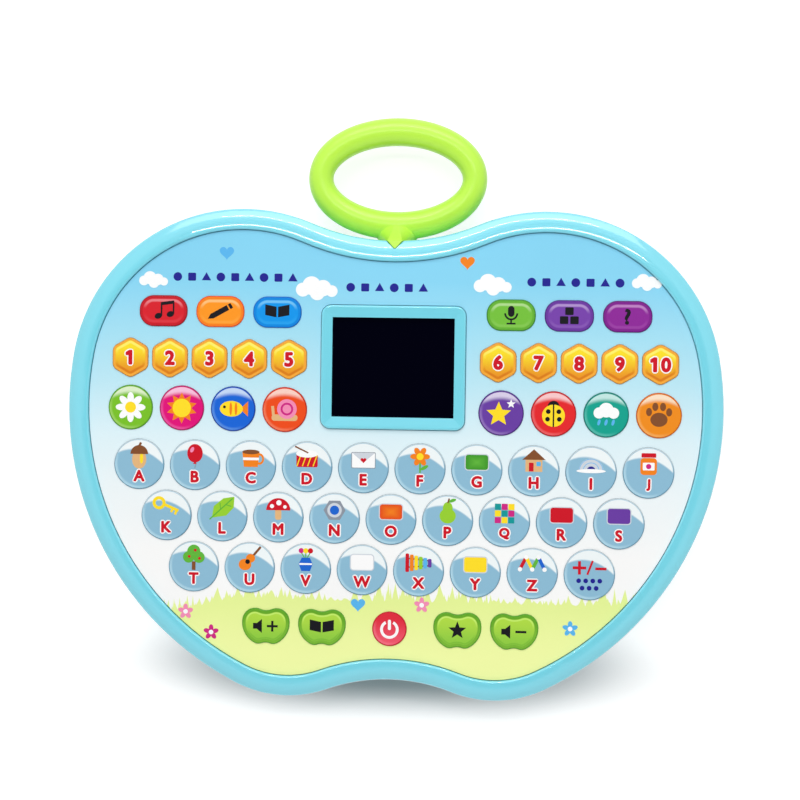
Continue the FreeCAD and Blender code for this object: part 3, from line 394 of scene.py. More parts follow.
def add_node(tree, kind, inputs=None, **settings):
    """A node with its settings made and its inputs set or linked."""
    node = tree.nodes.new(kind)
    for key, value in settings.items():
        setattr(node, key, value)
    for key, value in (inputs or {}).items():
        if isinstance(value, bpy.types.NodeSocket):
            tree.links.new(value, node.inputs[key])
        else:
            node.inputs[key].default_value = value
    return node


def add_sockets(tree, in_out, kinds):
    """Gives a node group inputs or outputs, from a table of names and kinds."""
    for name, kind in kinds.items():
        tree.interface.new_socket(name, in_out=in_out, socket_type="NodeSocket" + kind)


def math_node(tree, operation, first, second=0.0, third=0.0):
    """The output of a math node."""
    node = add_node(tree, "ShaderNodeMath", {0: first, 1: second, 2: third}, operation=operation)
    return node.outputs[0]


def ramp(tree, value, low, high, smooth=True):
    """A value mapped from low..high to 0..1."""
    node = add_node(
        tree,
        "ShaderNodeMapRange",
        {"Value": value, "From Min": low, "From Max": high},
        interpolation_type="SMOOTHSTEP" if smooth else "LINEAR",
    )
    return node.outputs["Result"]


# Sockets of the mix node where it mixes colours.
MIX_FACTOR = 0
MIX_FIRST = 6
MIX_SECOND = 7
MIX_RESULT = 2


def mix_colour(tree, factor, first, second):
    """A colour between two colours."""
    inputs = {MIX_FACTOR: factor, MIX_FIRST: first, MIX_SECOND: second}
    return add_node(tree, "ShaderNodeMix", inputs, data_type="RGBA").outputs[MIX_RESULT]


def noise(tree, scale, detail=3.0):
    """Noise in object coordinates, about 0.5."""
    coordinates = add_node(tree, "ShaderNodeTexCoord")
    node = add_node(
        tree,
        "ShaderNodeTexNoise",
        {"Vector": coordinates.outputs["Object"], "Scale": scale, "Detail": detail},
    )
    return node.outputs["Fac"]


def moulded_group():
    """Shader group: the slight unevenness of a moulded or printed plastic surface."""
    found = bpy.data.node_groups.get("Moulded Surface")
    if found:
        return found
    group = bpy.data.node_groups.new("Moulded Surface", "ShaderNodeTree")
    add_sockets(group, "INPUT", {"Color": "Color", "Roughness": "Float", "Grain": "Float"})
    add_sockets(group, "OUTPUT", {"Color": "Color", "Roughness": "Float", "Normal": "Vector"})
    given = group.nodes.new("NodeGroupInput")
    result = group.nodes.new("NodeGroupOutput")
    broad = noise(group, MOULD_WAVES)
    fine = noise(group, MOULD_PORES, 2.0)
    value = math_node(group, "MULTIPLY_ADD", broad, SHADE_SWING, 1 - SHADE_SWING / 2)
    shade = add_node(group, "ShaderNodeHueSaturation", {"Color": given.outputs["Color"], "Value": value})
    rough = math_node(group, "MULTIPLY_ADD", broad, ROUGH_SWING, -ROUGH_SWING / 2)
    rough = math_node(group, "ADD", rough, given.outputs["Roughness"])
    pores = {"Strength": given.outputs["Grain"], "Distance": MOULD_PORE_DEPTH, "Height": fine}
    bump = add_node(group, "ShaderNodeBump", pores)
    group.links.new(shade.outputs["Color"], result.inputs["Color"])
    group.links.new(rough, result.inputs["Roughness"])
    group.links.new(bump.outputs["Normal"], result.inputs["Normal"])
    return group


SOCKETS = {
    "coat_weight": "Coat Weight",
    "coat_roughness": "Coat Roughness",
    "coat_ior": "Coat IOR",
    "metallic": "Metallic",
    "specular": "Specular IOR Level",
}


def surface(tree, output, colour, roughness, grain=MOULD_GRAIN, **principled):
    """A Principled shader over the moulded surface group."""
    given = {"Color": colour, "Roughness": roughness, "Grain": grain}
    moulded = add_node(tree, "ShaderNodeGroup", given, node_tree=moulded_group()).outputs
    inputs = {SOCKETS[key]: value for key, value in principled.items()}
    inputs["Base Color"] = moulded["Color"]
    inputs["Roughness"] = moulded["Roughness"]
    inputs["Normal"] = moulded["Normal"]
    shader = add_node(tree, "ShaderNodeBsdfPrincipled", inputs)
    tree.links.new(shader.outputs["BSDF"], output.inputs["Surface"])
    return shader


def plastic_material(name, colour, roughness, grain=MOULD_GRAIN, **principled):
    """A plain moulded plastic."""
    material, tree, output = new_material(name)
    surface(tree, output, tuple(colour), roughness, grain, **principled)
    return material


def shell_material(settings):
    """The clear-coated gloss plastic of the two shells and the battery door."""
    finish = {"coat_weight": 1.0, "coat_roughness": 0.03, "coat_ior": 1.7}
    return plastic_material("shell_plastic", settings.shell_colour, settings.shell_roughness, **finish)


def handle_material(settings):
    """The softer gloss of the loop handle."""
    finish = {"coat_weight": 0.2, "coat_roughness": 0.15}
    return plastic_material("handle_plastic", settings.handle_colour, HANDLE_ROUGHNESS, **finish)


def window_material():
    """The smoked window: nearly black and smooth."""
    colour = linear(*WINDOW_COLOUR)
    return plastic_material("window_plastic", colour, WINDOW_ROUGHNESS, WINDOW_GRAIN, specular=WINDOW_GLOSS)


def metal_material(name, colour, roughness):
    """A drawn or pressed metal with fine streaks."""
    material, tree, output = new_material(name)
    coordinates = add_node(tree, "ShaderNodeTexCoord")
    stretching = {"Vector": coordinates.outputs["Object"], "Scale": STREAK_SCALE}
    stretch = add_node(tree, "ShaderNodeMapping", stretching)
    streaks = add_node(tree, "ShaderNodeTexNoise", {"Vector": stretch.outputs["Vector"], "Scale": 1.0})
    base = roughness - STREAK_SWING / 2
    rough = math_node(tree, "MULTIPLY_ADD", streaks.outputs["Fac"], STREAK_SWING, base)
    surface(tree, output, tuple(colour), rough, STREAK_GRAIN, metallic=1.0)
    return material


def board_material():
    """Green circuit board with lighter tracks."""
    material, tree, output = new_material("circuit_board")
    coordinates = add_node(tree, "ShaderNodeTexCoord")
    tracks = add_node(
        tree,
        "ShaderNodeTexBrick",
        {
            "Vector": coordinates.outputs["Object"],
            "Color1": linear(20, 96, 52),
            "Color2": linear(24, 108, 58),
            "Mortar": linear(60, 150, 80),
            "Scale": 120.0,
            "Mortar Size": 0.03,
        },
    )
    surface(tree, output, tracks.outputs["Color"], BOARD_ROUGHNESS)
    return material


def film_material(settings):
    """The printed film: sky above, white in the middle, a grassy meadow below."""
    material, tree, output = new_material("film_print")
    origin = face_origin()
    coordinates = add_node(tree, "ShaderNodeTexCoord")
    parts = add_node(tree, "ShaderNodeSeparateXYZ", {"Vector": coordinates.outputs["Object"]})
    x = math_node(tree, "MULTIPLY", parts.outputs["X"], 1 / MM)
    y = math_node(tree, "MULTIPLY_ADD", parts.outputs["Y"], 1 / MM, -origin.y / MM)
    meadow_mask = ramp(tree, above_meadow(tree, x, y), MEADOW_BLUR, -MEADOW_BLUR)
    meadow = mix_colour(tree, ramp(tree, y, *MEADOW_FADE), linear(*MEADOW_TOP), linear(*MEADOW_FOOT))
    colour = mix_colour(tree, meadow_mask, sky_colour(tree, y), meadow)
    surface(tree, output, colour, settings.film_roughness, PRINT_GRAIN, specular=FILM_GLOSS)
    return material


def sky_colour(tree, y):
    """The sky's colour by height on the film."""
    sky = tree.nodes.new("ShaderNodeValToRGB")
    low, high = SKY_STOPS[0][0], SKY_STOPS[-1][0]
    while len(sky.color_ramp.elements) < len(SKY_STOPS):
        sky.color_ramp.elements.new(0.5)
    for element, (place, colour) in zip(sky.color_ramp.elements, SKY_STOPS):
        element.position = (place - low) / (high - low)
        element.color = linear(*colour)
    tree.links.new(ramp(tree, y, low, high, smooth=False), sky.inputs["Fac"])
    return sky.outputs["Color"]


def above_meadow(tree, x, y):
    """Height over the tips of the grass, in millimetres; the meadow dips towards the left."""
    dip = math_node(tree, "MULTIPLY", ramp(tree, x, MEADOW_DIP_START, MEADOW_DIP_END), MEADOW_DIP)
    ground = math_node(tree, "ADD", dip, MEADOW_Y)
    tips = math_node(tree, "ADD", grass_height(tree, x), ground)
    return math_node(tree, "SUBTRACT", y, tips)


def grass_height(tree, x):
    """Height of the grass tips along X, in millimetres: overlapping rows of blades."""
    total = None
    for pitch, tall, shift in GRASS_ROWS:
        wave = {"W": x, "Scale": GRASS_BEND_SCALE, "Detail": 2.0}
        bend = add_node(tree, "ShaderNodeTexNoise", wave, noise_dimensions="1D")
        place = math_node(tree, "MULTIPLY_ADD", bend.outputs["Fac"], GRASS_BEND, shift)
        place = math_node(tree, "ADD", place, x)
        tooth = math_node(tree, "PINGPONG", place, pitch / 2)
        tooth = math_node(tree, "DIVIDE", tooth, pitch / 2)
        wave = {"W": place, "Scale": GRASS_PATCH_SCALE, "Detail": 1.0}
        patch = add_node(tree, "ShaderNodeTexNoise", wave, noise_dimensions="1D")
        tall_here = math_node(tree, "MULTIPLY", ramp(tree, patch.outputs["Fac"], *GRASS_PATCH), tall)
        blade = math_node(tree, "MULTIPLY", math_node(tree, "POWER", tooth, GRASS_TAPER), tall_here)
        total = blade if total is None else math_node(tree, "MAXIMUM", total, blade)
    return total


def ink_material(settings):
    """Printing ink: the colour comes from the mesh's own attribute."""
    material, tree, output = new_material("printed_ink")
    ink = add_node(tree, "ShaderNodeAttribute", attribute_name="ink", attribute_type="GEOMETRY")
    surface(tree, output, ink.outputs["Color"], settings.film_roughness, PRINT_GRAIN, specular=FILM_GLOSS)
    return material


def key_print_group():
    """Shader group: a key's printed edge line, border, inner line, pale cap and light lower edge.

    Places run from -1 to 1 over the key; widths and distances from its edge are millimetres.
    """
    found = bpy.data.node_groups.get("Key Print")
    if found:
        return found
    group = bpy.data.node_groups.new("Key Print", "ShaderNodeTree")
    add_sockets(group, "INPUT", {name: "Color" for name in KEY_COLOURS})
    add_sockets(group, "INPUT", {name: "Float" for name in KEY_SHARES})
    add_sockets(group, "OUTPUT", {"Color": "Color"})
    given = group.nodes.new("NodeGroupInput").outputs
    result = group.nodes.new("NodeGroupOutput")
    stored = add_node(group, "ShaderNodeAttribute", attribute_name="rim", attribute_type="GEOMETRY")
    rim = stored.outputs["Fac"]
    place = add_node(group, "ShaderNodeUVMap", uv_map="face")
    split = add_node(group, "ShaderNodeSeparateXYZ", {"Vector": place.outputs["UV"]})
    across = math_node(group, "MULTIPLY_ADD", split.outputs["X"], 2.0, -1.0)
    up = math_node(group, "MULTIPLY_ADD", split.outputs["Y"], 2.0, -1.0)
    inside = math_node(group, "SUBTRACT", rim, given["Border Width"])
    face = mix_colour(group, ramp(group, up, -0.8, 0.7), given["Foot"], given["Face"])
    low_left = math_node(group, "MULTIPLY_ADD", across, -0.7, math_node(group, "MULTIPLY", up, -0.7))
    glow = math_node(group, "DIVIDE", inside, given["Glow Width"])
    glow = math_node(group, "MULTIPLY", ramp(group, glow, 1.0, 0.3), ramp(group, low_left, 0.1, 0.75))
    glow = math_node(group, "MULTIPLY", glow, given["Glow Strength"])
    face = mix_colour(group, glow, face, given["Glow"])
    leaning = math_node(group, "ADD", across, given["Cap Lean"])
    bow = math_node(group, "MULTIPLY", math_node(group, "MULTIPLY", leaning, leaning), given["Cap Curve"])
    height = math_node(group, "SUBTRACT", math_node(group, "ADD", up, bow), given["Cap Reach"])
    cap = ramp(group, math_node(group, "DIVIDE", height, given["Cap Blur"]), -0.5, 0.5)
    cap = math_node(group, "MULTIPLY", cap, ramp(group, inside, 0.0, 0.3))
    face = mix_colour(group, cap, face, given["Cap"])
    step = math_node(group, "DIVIDE", inside, given["Inner Width"])
    inner = math_node(group, "MULTIPLY", ramp(group, step, 0.0, 0.3), ramp(group, step, 1.0, 0.6))
    inner = math_node(group, "MULTIPLY", inner, ramp(group, math_node(group, "ABSOLUTE", up), 0.1, 0.6))
    inner_colour = mix_colour(group, ramp(group, up, -0.2, 0.2), given["Inner Foot"], given["Inner"])
    face = mix_colour(group, inner, face, inner_colour)
    border = mix_colour(group, ramp(group, up, -0.1, 0.6), given["Border"], given["Border Top"])
    colour = mix_colour(group, ramp(group, inside, 0.1, -0.1), face, border)
    line = math_node(group, "SUBTRACT", rim, given["Line Width"])
    colour = mix_colour(group, ramp(group, line, 0.1, -0.1), colour, given["Line"])
    group.links.new(colour, result.inputs["Color"])
    return group


def key_material(name, settings, face, border, shares, **colours):
    """A printed key: colours and shares go to the Key Print group; a colour not given is the face's."""
    material, tree, output = new_material(name)
    named = {"Face": face, "Border": border, "Border Top": border, "Line": border}
    named.update({key.replace("_", " ").title(): colour for key, colour in colours.items()})
    inputs = {key: linear(*named.get(key, face)) for key in KEY_COLOURS}
    inputs.update(KEY_SHARES)
    inputs.update(shares)
    printed = add_node(tree, "ShaderNodeGroup", inputs, node_tree=key_print_group())
    colour = printed.outputs["Color"]
    surface(tree, output, colour, settings.film_roughness, PRINT_GRAIN, specular=FILM_GLOSS)
    return material


def ellipse(x, y, half_w, half_h, points=40, turn=0.0):
    """Points of an ellipse, turned by degrees."""
    swing = math.radians(turn)
    found = []
    for i in range(points):
        angle = 2 * math.pi * i / points
        dx, dy = half_w * math.cos(angle), half_h * math.sin(angle)
        across = dx * math.cos(swing) - dy * math.sin(swing)
        up = dx * math.sin(swing) + dy * math.cos(swing)
        found.append((x + across, y + up))
    return found


def wedge(x, y, radius, start, end, points=20):
    """Points of a pie slice between two angles in degrees."""
    found = [(x, y)]
    for i in range(points + 1):
        angle = math.radians(start + (end - start) * i / points)
        found.append((x + radius * math.cos(angle), y + radius * math.sin(angle)))
    return found


def star(x, y, outer, inner, tips=5, turn=90.0):
    """Points of a star."""
    found = []
    for i in range(2 * tips):
        radius = outer if i % 2 == 0 else inner
        angle = math.radians(turn + 180 * i / tips)
        found.append((x + radius * math.cos(angle), y + radius * math.sin(angle)))
    return found


def bar(x0, y0, x1, y1, width):
    """Points of a straight stroke."""
    length = math.hypot(x1 - x0, y1 - y0)
    nx, ny = -(y1 - y0) / length * width / 2, (x1 - x0) / length * width / 2
    return [(x0 + nx, y0 + ny), (x0 - nx, y0 - ny), (x1 - nx, y1 - ny), (x1 + nx, y1 + ny)]


def panel(x, y, width, height, radius=0.4):
    """Points of a rectangle with rounded corners."""
    found = []
    for sx, sy, start in ((1, 1, 0), (-1, 1, 90), (-1, -1, 180), (1, -1, 270)):
        corner_x = x + sx * (width / 2 - radius)
        corner_y = y + sy * (height / 2 - radius)
        for i in range(CORNER_POINTS):
            angle = math.radians(start + 90 * i / (CORNER_POINTS - 1))
            found.append((corner_x + radius * math.cos(angle), corner_y + radius * math.sin(angle)))
    return found


def heart(x, y, size):
    """Points of a heart."""
    found = []
    for i in range(HEART_POINTS):
        t = 2 * math.pi * i / HEART_POINTS
        wide = 16 * math.sin(t) ** 3
        tall = 13 * math.cos(t) - 5 * math.cos(2 * t) - 2 * math.cos(3 * t) - math.cos(4 * t)
        found.append((x + wide * size / HEART_SPAN, y + tall * size / HEART_SPAN))
    return found


def glyph(text):
    """Corners and faces of a character one unit high, centred on its own middle, without slivers."""
    if text == "1":
        return list(FIGURE_ONE), [tuple(range(len(FIGURE_ONE)))]
    curve = bpy.data.curves.new("glyph", "FONT")
    curve.body = text
    curve.resolution_u = TEXT_STEPS
    holder = bpy.data.objects.new("glyph", curve)
    bpy.context.collection.objects.link(holder)
    bpy.context.view_layer.update()
    graph = bpy.context.evaluated_depsgraph_get()
    mesh = bpy.data.meshes.new_from_object(holder.evaluated_get(graph))
    xs = [corner.co.x for corner in mesh.vertices]
    ys = [corner.co.y for corner in mesh.vertices]
    height = max(ys) - min(ys)
    mid_x, mid_y = (max(xs) + min(xs)) / 2, (max(ys) + min(ys)) / 2
    corners = [((x - mid_x) / height, (y - mid_y) / height) for x, y in zip(xs, ys)]
    faces = [tuple(face.vertices) for face in mesh.polygons if face.area > GLYPH_SLIVER]
    bpy.data.objects.remove(holder)
    bpy.data.curves.remove(curve)
    bpy.data.meshes.remove(mesh)
    return corners, faces


def grown(corners, faces, distance):
    """A flat shape made wider all round: the union of copies of it moved out in every direction."""
    points, loops = [], []
    for i in range(GROW_STEPS):
        angle = 2 * math.pi * i / GROW_STEPS
        start = len(points)
        points += [(x + distance * math.cos(angle), y + distance * math.sin(angle)) for x, y in corners]
        loops += [[start + c for c in face] for face in faces]
    places = [Vector(point) for point in points]
    joined, _, areas, _, _, origins = delaunay_2d_cdt(places, [], loops, KEEP_INSIDE, JOIN_GAP)
    filled = [tuple(area) for area, sources in zip(areas, origins) if sources]
    return [tuple(point) for point in joined], filled


class PrintSheet:
    """Flat ink shapes over one body, gathered into a single mesh."""

    def __init__(self, base_z):
        self.corners = []
        self.faces = []
        self.colours = []
        self.base_z = base_z
        self.layer = 0
        self.x = 0.0
        self.y = 0.0
        self.scale = 1.0

    def at(self, centre, scale=1.0):
        """Moves the drawing origin to a place in the row frame, in metres."""
        self.x, self.y = centre.x / MM, centre.y / MM
        self.scale = scale
        self.layer = 0
        return self

    def add(self, corners, faces, ink):
        """Adds flat faces in one colour above what was drawn before."""
        start = len(self.corners)
        z = self.base_z / MM + INK_LIFT + INK_STEP * self.layer
        for x, y in corners:
            self.corners.append(((self.x + x * self.scale) * MM, (self.y + y * self.scale) * MM, z * MM))
            self.colours.append(linear(*INK[ink]))
        self.faces += [tuple(start + i for i in face) for face in faces]
        self.layer += 1

    def shape(self, points, ink):
        """Adds one filled outline."""
        area = 0.0
        for (x0, y0), (x1, y1) in zip(points, points[1:] + points[:1]):
            area += x0 * y1 - x1 * y0
        ordered = points if area > 0 else points[::-1]
        self.add(ordered, [tuple(range(len(ordered)))], ink)

    def shaded(self, points, ink, middle_ink):
        """Adds an outline that goes over to another colour in its middle."""
        count = len(points)
        middle = (sum(x for x, _ in points) / count, sum(y for _, y in points) / count)
        self.add(points + [middle], [(i, (i + 1) % count, count) for i in range(count)], ink)
        self.colours[-1] = linear(*INK[middle_ink])

    def band(self, inner, outer, ink):
        """Adds the strip between two outlines with the same number of points."""
        count = len(inner)
        faces = []
        for i in range(count):
            j = (i + 1) % count
            faces.append((i, count + i, count + j, j))
        self.add(inner + outer, faces, ink)

    def strip(self, first, second, ink):
        """Adds the strip between two open lines with the same number of points."""
        count = len(first)
        self.add(first + second, [(i, i + 1, count + i + 1, count + i) for i in range(count - 1)], ink)

    def text(self, text, height, ink, edge_ink=None, x=0.0, y=0.0, bold=TEXT_BOLD):
        """Adds a character made bolder on every side, with an edge round it if edge_ink is given."""
        corners, faces = glyph(text)
        tall = height - 2 * bold
        placed = [(x + cx * tall, y + cy * tall) for cx, cy in corners]
        if edge_ink:
            self.add(*grown(placed, faces, bold + TEXT_EDGE), edge_ink)
        self.add(*grown(placed, faces, bold), ink)

    def make(self, name, body, material):
        """Turns the sheet into a piece that rides on a body."""
        mesh = bpy.data.meshes.new(name)
        mesh.from_pydata(self.corners, [], self.faces)
        ink = mesh.attributes.new("ink", "FLOAT_COLOR", "POINT")
        ink.data.foreach_set("color", [value for colour in self.colours for value in colour])
        mesh.materials.append(material)
        mesh.update()
        piece = bpy.data.objects.new(name, mesh)
        bpy.context.collection.objects.link(piece)
        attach(piece, body)


# Small drawings, in millimetres about the middle of a key. On a letter key they stand above the letter.


def draw_acorn(sheet):
    sheet.shape(ellipse(0, 1.6, 2.5, 3.3), "tan")
    sheet.shape(ellipse(0.8, 2.0, 0.6, 1.9), "yellow")
    sheet.shape(wedge(0, 3.4, 3.1, 0, 180), "brown")
    sheet.shape(bar(0, 6.2, 0.6, 7.4, 0.8), "brown")


def draw_balloon(sheet):
    sheet.shape(bar(0, -1.2, 0.5, 1.4, 0.3), "grey")
    sheet.shape(ellipse(0, 4.0, 2.7, 3.2), "red")
    sheet.shape(ellipse(-1.0, 5.2, 0.6, 1.0, turn=-25), "pink")
    sheet.shape([(0, 1.1), (-0.7, 0.3), (0.7, 0.3)], "red")


def draw_cup(sheet):
    sheet.band(ellipse(2.9, 2.4, 1.0, 1.2), ellipse(2.9, 2.4, 1.7, 2.0), "orange")
    sheet.shape([(-3.0, 4.8), (-2.4, -0.4), (2.4, -0.4), (3.0, 4.8)], "orange")
    sheet.shape(ellipse(0, 4.8, 3.0, 0.8), "brown")
    sheet.shape(bar(-2.8, 2.4, 2.8, 2.4, 0.9), "white")


def draw_drum(sheet):
    sheet.shape(panel(0, 2.2, 7.4, 4.6, 0.6), "red")
    for x in (-2.8, -0.9, 0.9, 2.8):
        sheet.shape(bar(x - 0.7, 0.2, x + 0.7, 4.2, 0.35), "yellow")
    sheet.shape(ellipse(0, 4.5, 3.8, 1.3), "white")
    sheet.shape(bar(-4.2, 7.0, 0.4, 4.8, 0.5), "brown")


def draw_envelope(sheet):
    sheet.shape(panel(0, 2.6, 8.4, 5.6, 0.4), "grey")
    sheet.shape(panel(0, 2.6, 7.9, 5.1, 0.3), "white")
    sheet.shape([(-3.9, 5.1), (0, 1.8), (3.9, 5.1)], "silver")
    sheet.shape(heart(0, 2.6, 2.0), "red")


def draw_flower(sheet):
    sheet.shape(bar(0, -1.4, 0, 2.6, 0.6), "green")
    sheet.shape(ellipse(1.5, 0.4, 1.5, 0.6, turn=30), "green")
    for i in range(6):
        turn = 60 * i
        x, y = 2.0 * math.cos(math.radians(turn)), 4.2 + 2.0 * math.sin(math.radians(turn))
        sheet.shape(ellipse(x, y, 1.4, 0.95, turn=turn), "orange")
    sheet.shape(ellipse(0, 4.2, 1.2, 1.2), "yellow")


def draw_house(sheet):
    sheet.shape(panel(0, 1.9, 5.8, 4.4, 0.2), "tan")
    sheet.shape([(-4.0, 3.8), (0, 7.4), (4.0, 3.8)], "brown")
    sheet.shape(panel(-0.9, 1.3, 1.6, 3.0, 0.2), "red")
    sheet.shape(panel(1.6, 2.4, 1.5, 1.5, 0.15), "sky")


def draw_igloo(sheet):
    sheet.shape(wedge(0, 0.4, 4.2, 0, 180), "silver")
    for i in range(3):
        reach = 1.3 * (i + 1)
        sheet.strip(wedge(0, 0.4, reach + 0.2, 0, 180)[1:], wedge(0, 0.4, reach, 0, 180)[1:], "sky")
    sheet.shape(wedge(0, 0.4, 1.5, 0, 180), "navy")
    sheet.shape(ellipse(0, 0.3, 5.0, 0.7), "white")


def draw_jar(sheet):
    sheet.shape(panel(0, 2.2, 5.6, 5.8, 1.2), "orange")
    sheet.shape(panel(0, 6.0, 5.0, 1.5, 0.3), "red")
    sheet.shape(panel(0, 2.2, 4.0, 2.6, 0.3), "white")
    sheet.shape(ellipse(0, 2.2, 0.9, 0.9), "magenta")


def draw_old_key(sheet):
    sheet.band(ellipse(-2.6, 4.2, 1.2, 1.2), ellipse(-2.6, 4.2, 2.3, 2.3), "yellow")
    sheet.shape(bar(-0.6, 3.6, 4.2, 1.6, 1.0), "yellow")
    sheet.shape(bar(3.6, 1.8, 3.0, 0.2, 0.8), "yellow")
    sheet.shape(bar(2.2, 2.4, 1.7, 1.0, 0.8), "yellow")


def draw_leaf(sheet):
    sheet.shape([(-3.6, -0.6), (-3.0, 3.4), (0.4, 6.2), (4.2, 6.8), (4.0, 3.0), (1.4, 0.2)], "lime")
    sheet.shape(bar(-4.4, -1.2, 3.6, 6.2, 0.45), "green")
    sheet.shape(bar(-0.6, 2.3, -0.8, 4.6, 0.3), "green")
    sheet.shape(bar(1.2, 4.0, 3.2, 3.4, 0.3), "green")


def draw_mushroom(sheet):
    sheet.shape(panel(0, 1.0, 2.2, 3.8, 0.8), "tan")
    sheet.shape(wedge(0, 2.4, 4.2, 0, 180), "red")
    for x, y, r in ((-2.2, 3.8, 0.7), (0.2, 5.0, 0.9), (2.3, 3.6, 0.6)):
        sheet.shape(ellipse(x, y, r, r), "white")


def draw_nut(sheet):
    sheet.shape(star(0, 2.8, 3.8, 3.3, 6, 0), "grey")
    sheet.shape(ellipse(0, 2.8, 2.5, 2.5), "silver")
    sheet.shape(ellipse(0, 2.8, 1.6, 1.6), "blue")


def draw_pear(sheet):
    sheet.shape(ellipse(0, 1.6, 2.8, 2.6), "lime")
    sheet.shape(ellipse(0, 4.2, 1.7, 2.2), "lime")
    sheet.shape(bar(0, 6.0, 0.5, 7.6, 0.5), "brown")
    sheet.shape(ellipse(1.6, 6.9, 1.3, 0.55, turn=20), "green")


def draw_quilt(sheet):
    for row in range(3):
        for column in range(3):
            ink = ("magenta", "yellow", "teal")[(row + column) % 3]
            sheet.shape(panel(2.3 * (column - 1), 2.8 + 2.3 * (row - 1), 2.1, 2.1, 0.2), ink)


def draw_tree(sheet):
    sheet.shape(panel(0, 0.2, 1.3, 3.0, 0.2), "brown")
    for x, y, r in ((-1.8, 3.2, 2.0), (1.8, 3.2, 2.0), (0, 5.2, 2.3)):
        sheet.shape(ellipse(x, y, r, r), "green")
    for x, y in ((-1.6, 3.4), (0.5, 5.6), (2.0, 2.8)):
        sheet.shape(ellipse(x, y, 0.5, 0.5), "red")


def draw_ukulele(sheet):
    sheet.shape(bar(0.8, 3.6, 3.8, 7.2, 0.8), "brown")
    sheet.shape(ellipse(-1.6, 1.0, 2.2, 2.0), "orange")
    sheet.shape(ellipse(0.3, 3.2, 1.6, 1.5), "orange")
    sheet.shape(ellipse(-0.7, 2.0, 0.8, 0.8), "black")


def draw_vase(sheet):
    for x, ink in ((-1.6, "magenta"), (0, "yellow"), (1.6, "red")):
        sheet.shape(bar(0, 3.0, x, 5.6, 0.35), "green")
        sheet.shape(ellipse(x, 6.2, 0.9, 0.9), ink)
    sheet.shape([(-1.4, 3.8), (-2.4, 1.6), (-1.5, -0.8), (1.5, -0.8), (2.4, 1.6), (1.4, 3.8)], "blue")
    sheet.shape(bar(-2.2, 1.6, 2.2, 1.6, 0.6), "white")


def draw_xylophone(sheet):
    inks = ("red", "orange", "yellow", "lime", "sky", "purple")
    sheet.shape(bar(-4.4, 4.4, 4.4, 3.6, 0.5), "brown")
    sheet.shape(bar(-4.4, 1.2, 4.4, 2.0, 0.5), "brown")
    for i, ink in enumerate(inks):
        sheet.shape(panel(-3.9 + 1.55 * i, 2.8, 1.25, 6.4 - 0.7 * i, 0.4), ink)


def draw_zigzag(sheet):
    tops = [(-4.2, 1.4), (-2.1, 5.6), (0, 1.4), (2.1, 5.6), (4.2, 1.4)]
    for (x0, y0), (x1, y1), ink in zip(tops, tops[1:], ("red", "yellow", "green", "blue")):
        sheet.shape(bar(x0, y0, x1, y1, 1.2), ink)
    for x, y in tops:
        sheet.shape(ellipse(x, y, 0.75, 0.75), "white")


def swatch(ink, middle_ink):
    """A drawing function for a plain colour panel."""

    def draw(sheet):
        sheet.shape(panel(0, 2.6, 8.4, 5.8, 1.2), "silver")
        sheet.shaded(panel(0, 2.6, 7.7, 5.1, 0.9), ink, middle_ink)

    return draw


LETTER_PICTURES = {
    "A": draw_acorn,
    "B": draw_balloon,
    "C": draw_cup,
    "D": draw_drum,
    "E": draw_envelope,
    "F": draw_flower,
    "G": swatch("leaf", "green"),
    "H": draw_house,
    "I": draw_igloo,
    "J": draw_jar,
    "K": draw_old_key,
    "L": draw_leaf,
    "M": draw_mushroom,
    "N": draw_nut,
    "O": swatch("ember", "orange"),
    "P": draw_pear,
    "Q": draw_quilt,
    "R": swatch("red", "red"),
    "S": swatch("purple", "purple"),
    "T": draw_tree,
    "U": draw_ukulele,
    "V": draw_vase,
    "W": swatch("white", "white"),
    "X": draw_xylophone,
    "Y": swatch("yellow", "yellow"),
    "Z": draw_zigzag,
}


def draw_daisy(sheet):
    for i in range(8):
        turn = 45 * i
        x, y = 3.2 * math.cos(math.radians(turn)), 3.2 * math.sin(math.radians(turn))
        sheet.shape(ellipse(x, y, 2.0, 1.15, turn=turn), "white")
    sheet.shape(ellipse(0, 0, 1.9, 1.9), "yellow")


def draw_sun(sheet):
    sheet.shape(star(0, 0, 5.4, 3.4, 10), "orange")
    sheet.shape(ellipse(0, 0, 3.2, 3.2), "yellow")


def draw_fish(sheet):
    sheet.shape([(2.4, 0), (5.2, 2.6), (5.2, -2.6)], "orange")
    sheet.shape(ellipse(-0.6, 0, 4.0, 2.7), "yellow")
    for x in (-0.8, 1.0):
        sheet.shape(ellipse(x, 0, 0.45, 2.2), "orange")
    sheet.shape(ellipse(-3.0, 0.6, 0.5, 0.5), "black")


def draw_ladybird(sheet):
    sheet.shape(ellipse(0, 2.6, 2.0, 1.9), "black")
    sheet.shape(ellipse(0, -0.6, 3.9, 3.8), "yellow")
    sheet.shape(bar(0, 3.2, 0, -4.4, 0.5), "black")
    for x, y in ((-1.8, 0.8), (1.8, 0.8), (-2.0, -1.8), (2.0, -1.8)):
        sheet.shape(ellipse(x, y, 0.8, 0.8), "black")


def draw_star_pair(sheet):
    sheet.shape(star(-0.8, -0.4, 4.4, 2.0), "yellow")
    sheet.shape(star(3.4, 3.2, 1.6, 0.7), "white")


def draw_snail(sheet):
    sheet.shape(panel(0, -2.8, 9.0, 2.2, 1.0), "tan")
    sheet.shape(bar(-3.8, -2.4, -4.2, 1.2, 1.0), "tan")
    sheet.shape(ellipse(0.8, 0.2, 3.4, 3.4), "pink")
    sheet.band(ellipse(0.8, 0.2, 1.5, 1.5), ellipse(0.8, 0.2, 2.2, 2.2), "magenta")


